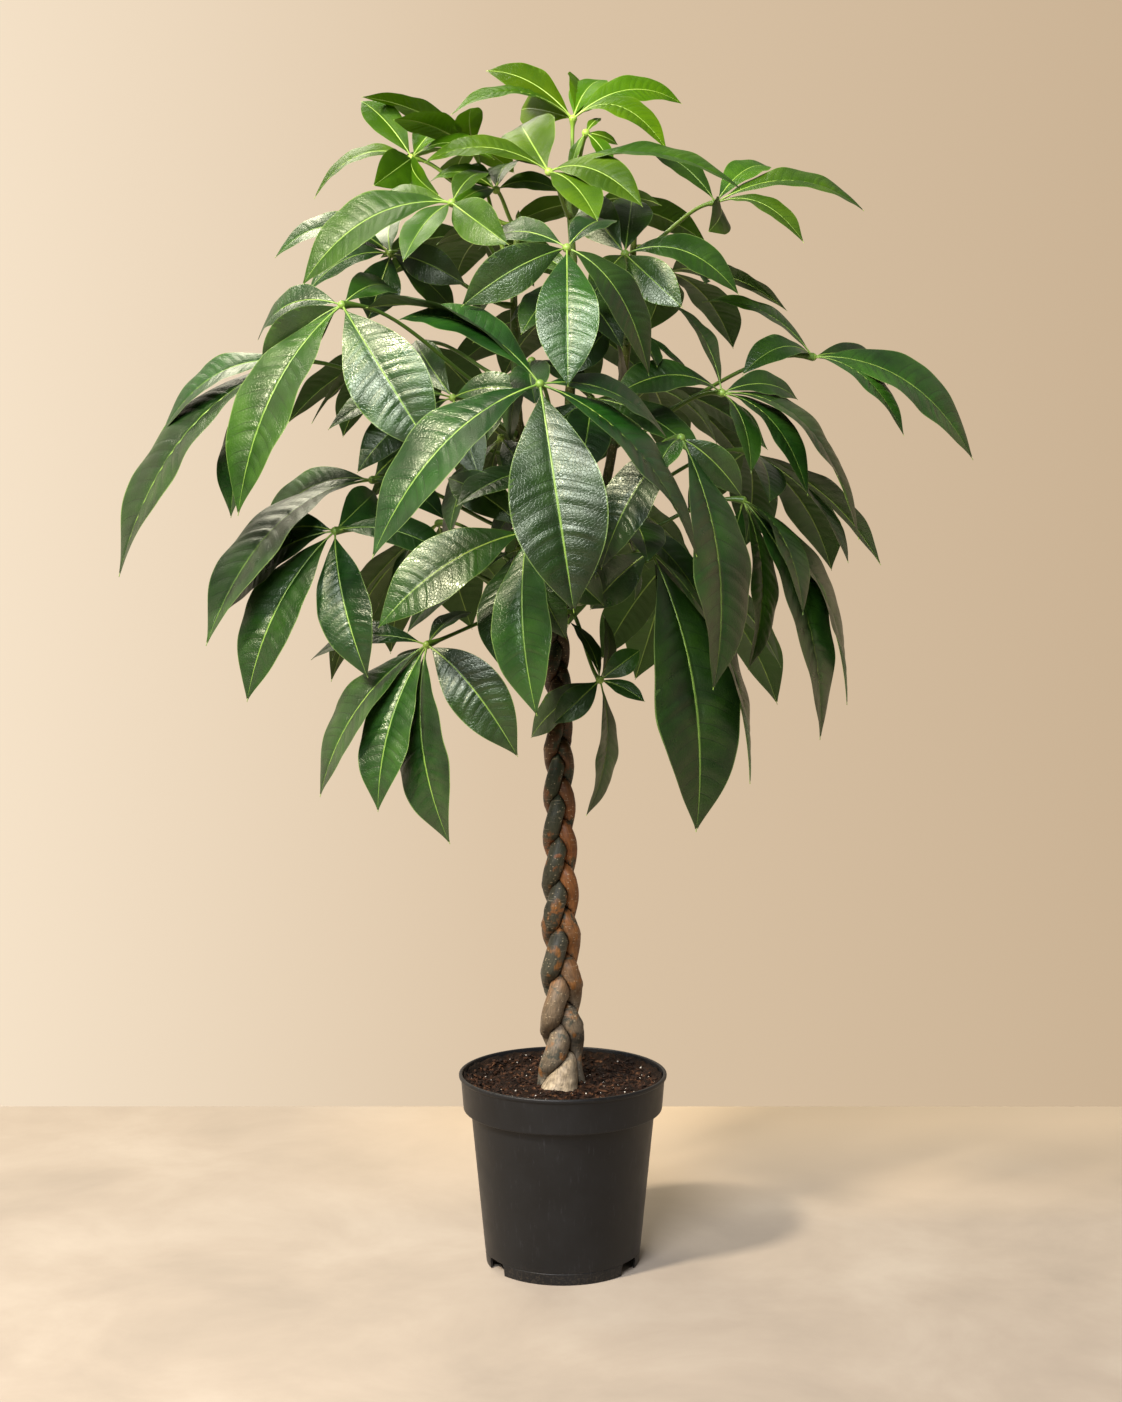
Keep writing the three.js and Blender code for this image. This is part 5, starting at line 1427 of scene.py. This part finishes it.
carried = add_node(leaf_tree, "ShaderNodeVectorMath", [beside, go_above], operation="ADD")
blades = add_node(leaf_tree, "GeometryNodeSetPosition", {"Geometry": flat_blades, "Position": carried})

# Ribs and stalks: every line also becomes a round rib that thins towards its tip, or a stalk that swells
# at both ends
LINE_STEPS = 22
ROUND_SIDES = 8
HUB_DETAIL = 3
RIB_TO_WIDTH = 0.017
RIB_TIP_SHARE = 0.28
STALK_MIDDLE = 0.44
STALK_SWELLING = [
    (0, 0.75), (0.03, 0.80), (0.09, 0.52), (0.5, STALK_MIDDLE), (0.9, 0.46), (0.97, 0.85), (1, 0.95)]
straight = add_node(leaf_tree, "GeometryNodeCurvePrimitiveLine", {"Start": (0, 0, 0), "End": (0, 1, 0)})
stepped = add_node(leaf_tree, "GeometryNodeResampleCurve", {"Curve": straight, "Count": LINE_STEPS})
lines_laid = add_node(leaf_tree, "GeometryNodeInstanceOnPoints",
                      {"Points": (given, "Lines"), "Instance": stepped})
lines = add_node(leaf_tree, "GeometryNodeRealizeInstances", {"Geometry": lines_laid})
kept = add_node(leaf_tree, "GeometryNodeStoreNamedAttribute",
                {"Geometry": lines, "Name": "along", "Value": (flat, "Y")}, data_type="FLOAT", domain="POINT")
is_stalk = add_node(leaf_tree, "FunctionNodeBooleanMath", [is_blade], operation="NOT")
told = add_node(leaf_tree, "GeometryNodeStoreNamedAttribute",
                {"Geometry": kept, "Name": "stalk", "Value": is_stalk}, data_type="FLOAT", domain="POINT")
bent = add_node(leaf_tree, "GeometryNodeSetPosition", {"Geometry": told, "Position": place})
swelling = add_node(leaf_tree, "ShaderNodeFloatCurve", [None, along])
curve = swelling.mapping.curves[0]
for index, (where, size) in enumerate(STALK_SWELLING):
    if 0 < index < len(STALK_SWELLING) - 1:
        curve.points.new(where, size)
curve.points[0].location = STALK_SWELLING[0]
curve.points[-1].location = STALK_SWELLING[-1]
swelling.mapping.update()
stalk_size = add_node(leaf_tree, "ShaderNodeMath", [swelling, (given, "Stalk radius")], operation="MULTIPLY")
rib_thins = add_node(leaf_tree, "ShaderNodeMapRange", [along, 0, 1, 1, RIB_TIP_SHARE])
rib_foot = add_node(leaf_tree, "ShaderNodeMath", [half_width, RIB_TO_WIDTH, (given, "Least rib radius")],
                    operation="MULTIPLY_ADD")
rib_size = add_node(leaf_tree, "ShaderNodeMath", [rib_thins, rib_foot], operation="MULTIPLY")
tube_size = add_node(leaf_tree, "ShaderNodeMix", [is_blade, stalk_size, rib_size], data_type="FLOAT")
round_profile = add_node(leaf_tree, "GeometryNodeCurvePrimitiveCircle",
                         {"Resolution": ROUND_SIDES, "Radius": 1.0})
tubes = add_node(leaf_tree, "GeometryNodeCurveToMesh",
                 {"Curve": bent, "Profile Curve": round_profile, "Scale": tube_size, "Fill Caps": True})
hub_points = add_node(leaf_tree, "GeometryNodeMeshToPoints",
                      {"Mesh": (given, "Lines"), "Selection": is_stalk, "Position": hub_place})
ball = add_node(leaf_tree, "GeometryNodeMeshIcoSphere",
                {"Radius": (given, "Hub radius"), "Subdivisions": HUB_DETAIL})
hubs = add_node(leaf_tree, "GeometryNodeInstanceOnPoints", {"Points": hub_points, "Instance": ball})
round_parts = leaf_tree.nodes.new("GeometryNodeJoinGeometry")
for part in (tubes, hubs):
    leaf_tree.links.new(part.outputs[0], round_parts.inputs[0])
solid_parts = add_node(leaf_tree, "GeometryNodeRealizeInstances", {"Geometry": round_parts})
smooth_parts = add_node(leaf_tree, "GeometryNodeSetShadeSmooth", {"Geometry": solid_parts})
marked = add_node(leaf_tree, "GeometryNodeStoreNamedAttribute",
                  {"Geometry": smooth_parts, "Name": "round", "Value": True},
                  data_type="BOOLEAN", domain="FACE")
whole = leaf_tree.nodes.new("GeometryNodeJoinGeometry")
for part in (marked, blades):
    leaf_tree.links.new(part.outputs[0], whole.inputs[0])
last = whole
for name in LINE_POINTS + ["face", "half_width", "twist", "which", "along"]:
    last = add_node(leaf_tree, "GeometryNodeRemoveAttribute", {"Geometry": last, "Name": name})
last = add_node(leaf_tree, "GeometryNodeRealizeInstances", {"Geometry": last})
last = add_node(leaf_tree, "GeometryNodeSetMaterial", {"Geometry": last, "Material": leaf_skin})
last = add_node(leaf_tree, "GeometryNodeSetMaterial",
                {"Geometry": last, "Selection": is_round, "Material": rib_skin})
add_node(leaf_tree, "NodeGroupOutput", [last])

# Each leaf node of the part is stood for by one piece: its lines carry ready blades, a few shapes each of
# fine ones and of coarse ones for the short blades, and every blade has its own twist, youth and tone.
SHAPES = 3
BLADE_GRIDS = [("a_fine", 6, 4), ("b_coarse", 4, 2)]
FINE_FROM = 0.125
YOUNG_FROM, YOUNG_AT = 1.10, 1.36
YOUTH_MOST = 0.9
TWIST_MOST = 0.22
blade_draw = random.Random(3)
blade_shapes = collection_of("blade_shapes", [
    blade_mesh(f"{label}_{index}", columns, rows_per_vein, blade_draw)
    for index in range(SHAPES) for label, columns, rows_per_vein in BLADE_GRIDS])

dropped = 0
leaf_draw = random.Random(8)
for leaf in leaf_plans():
    is_corner = corner_finder(leaf["name"])
    stalk = chosen_stalk(leaf, is_corner)
    rows = [{"line": stalk, "face": UP, "half_width": 0}]
    for choices in leaf["choices"]:
        fitting = [blade for blade in choices if is_corner(blade["line"][3])]
        if fitting:
            rows.append(fitting[0])
        else:
            dropped += 1
    leaf_youth = smoothstep(leaf["hub"].z, YOUNG_FROM, YOUNG_AT) * YOUTH_MOST
    leaf_youth += leaf_draw.uniform(-0.04, 0.06)
    lines = bpy.data.meshes.new(leaf["name"])
    lines.from_pydata([(0, 0, 0)] * len(rows), [], [])
    vectors = {name: [row["line"][index] for row in rows] for index, name in enumerate(LINE_POINTS)}
    vectors["face"] = [row["face"] for row in rows]
    for name, values in vectors.items():
        layer = lines.attributes.new(name, "FLOAT_VECTOR", "POINT")
        layer.data.foreach_set("vector", [part for vector in values for part in vector])
    numbers = {
        "half_width": [row["half_width"] for row in rows],
        "twist": [leaf_draw.uniform(-TWIST_MOST, TWIST_MOST) for row in rows],
        "youth": [min(max(leaf_youth + leaf_draw.uniform(-0.05, 0.05), 0), 1) for row in rows],
        "seed": [leaf_draw.random() for row in rows],
    }
    for name, values in numbers.items():
        lines.attributes.new(name, "FLOAT", "POINT").data.foreach_set("value", values)
    which_layer = lines.attributes.new("which", "INT", "POINT")
    picks = []
    for row in rows:
        is_long = (row["line"][3] - row["line"][0]).length > FINE_FROM
        picks.append(leaf_draw.randrange(SHAPES) + (0 if is_long else SHAPES))
    which_layer.data.foreach_set("value", picks)
    work = new_object(f"{leaf['name']}_work", lines)
    leaf_mesh = run_tree(leaf_tree, work, {
        "Blades": blade_shapes, "Least rib radius": LEAST_RIB_RADIUS,
        "Stalk radius": STALK_RADIUS / STALK_MIDDLE, "Hub radius": HUB_RADIUS})
    bpy.data.objects.remove(work)
    piece = new_object(leaf["name"].replace("leaf_", "foliage_"), leaf_mesh)
    finish_piece(piece, leaf["name"])
print(f"blades that the part left out: {dropped}")
drop_collection(blade_shapes)
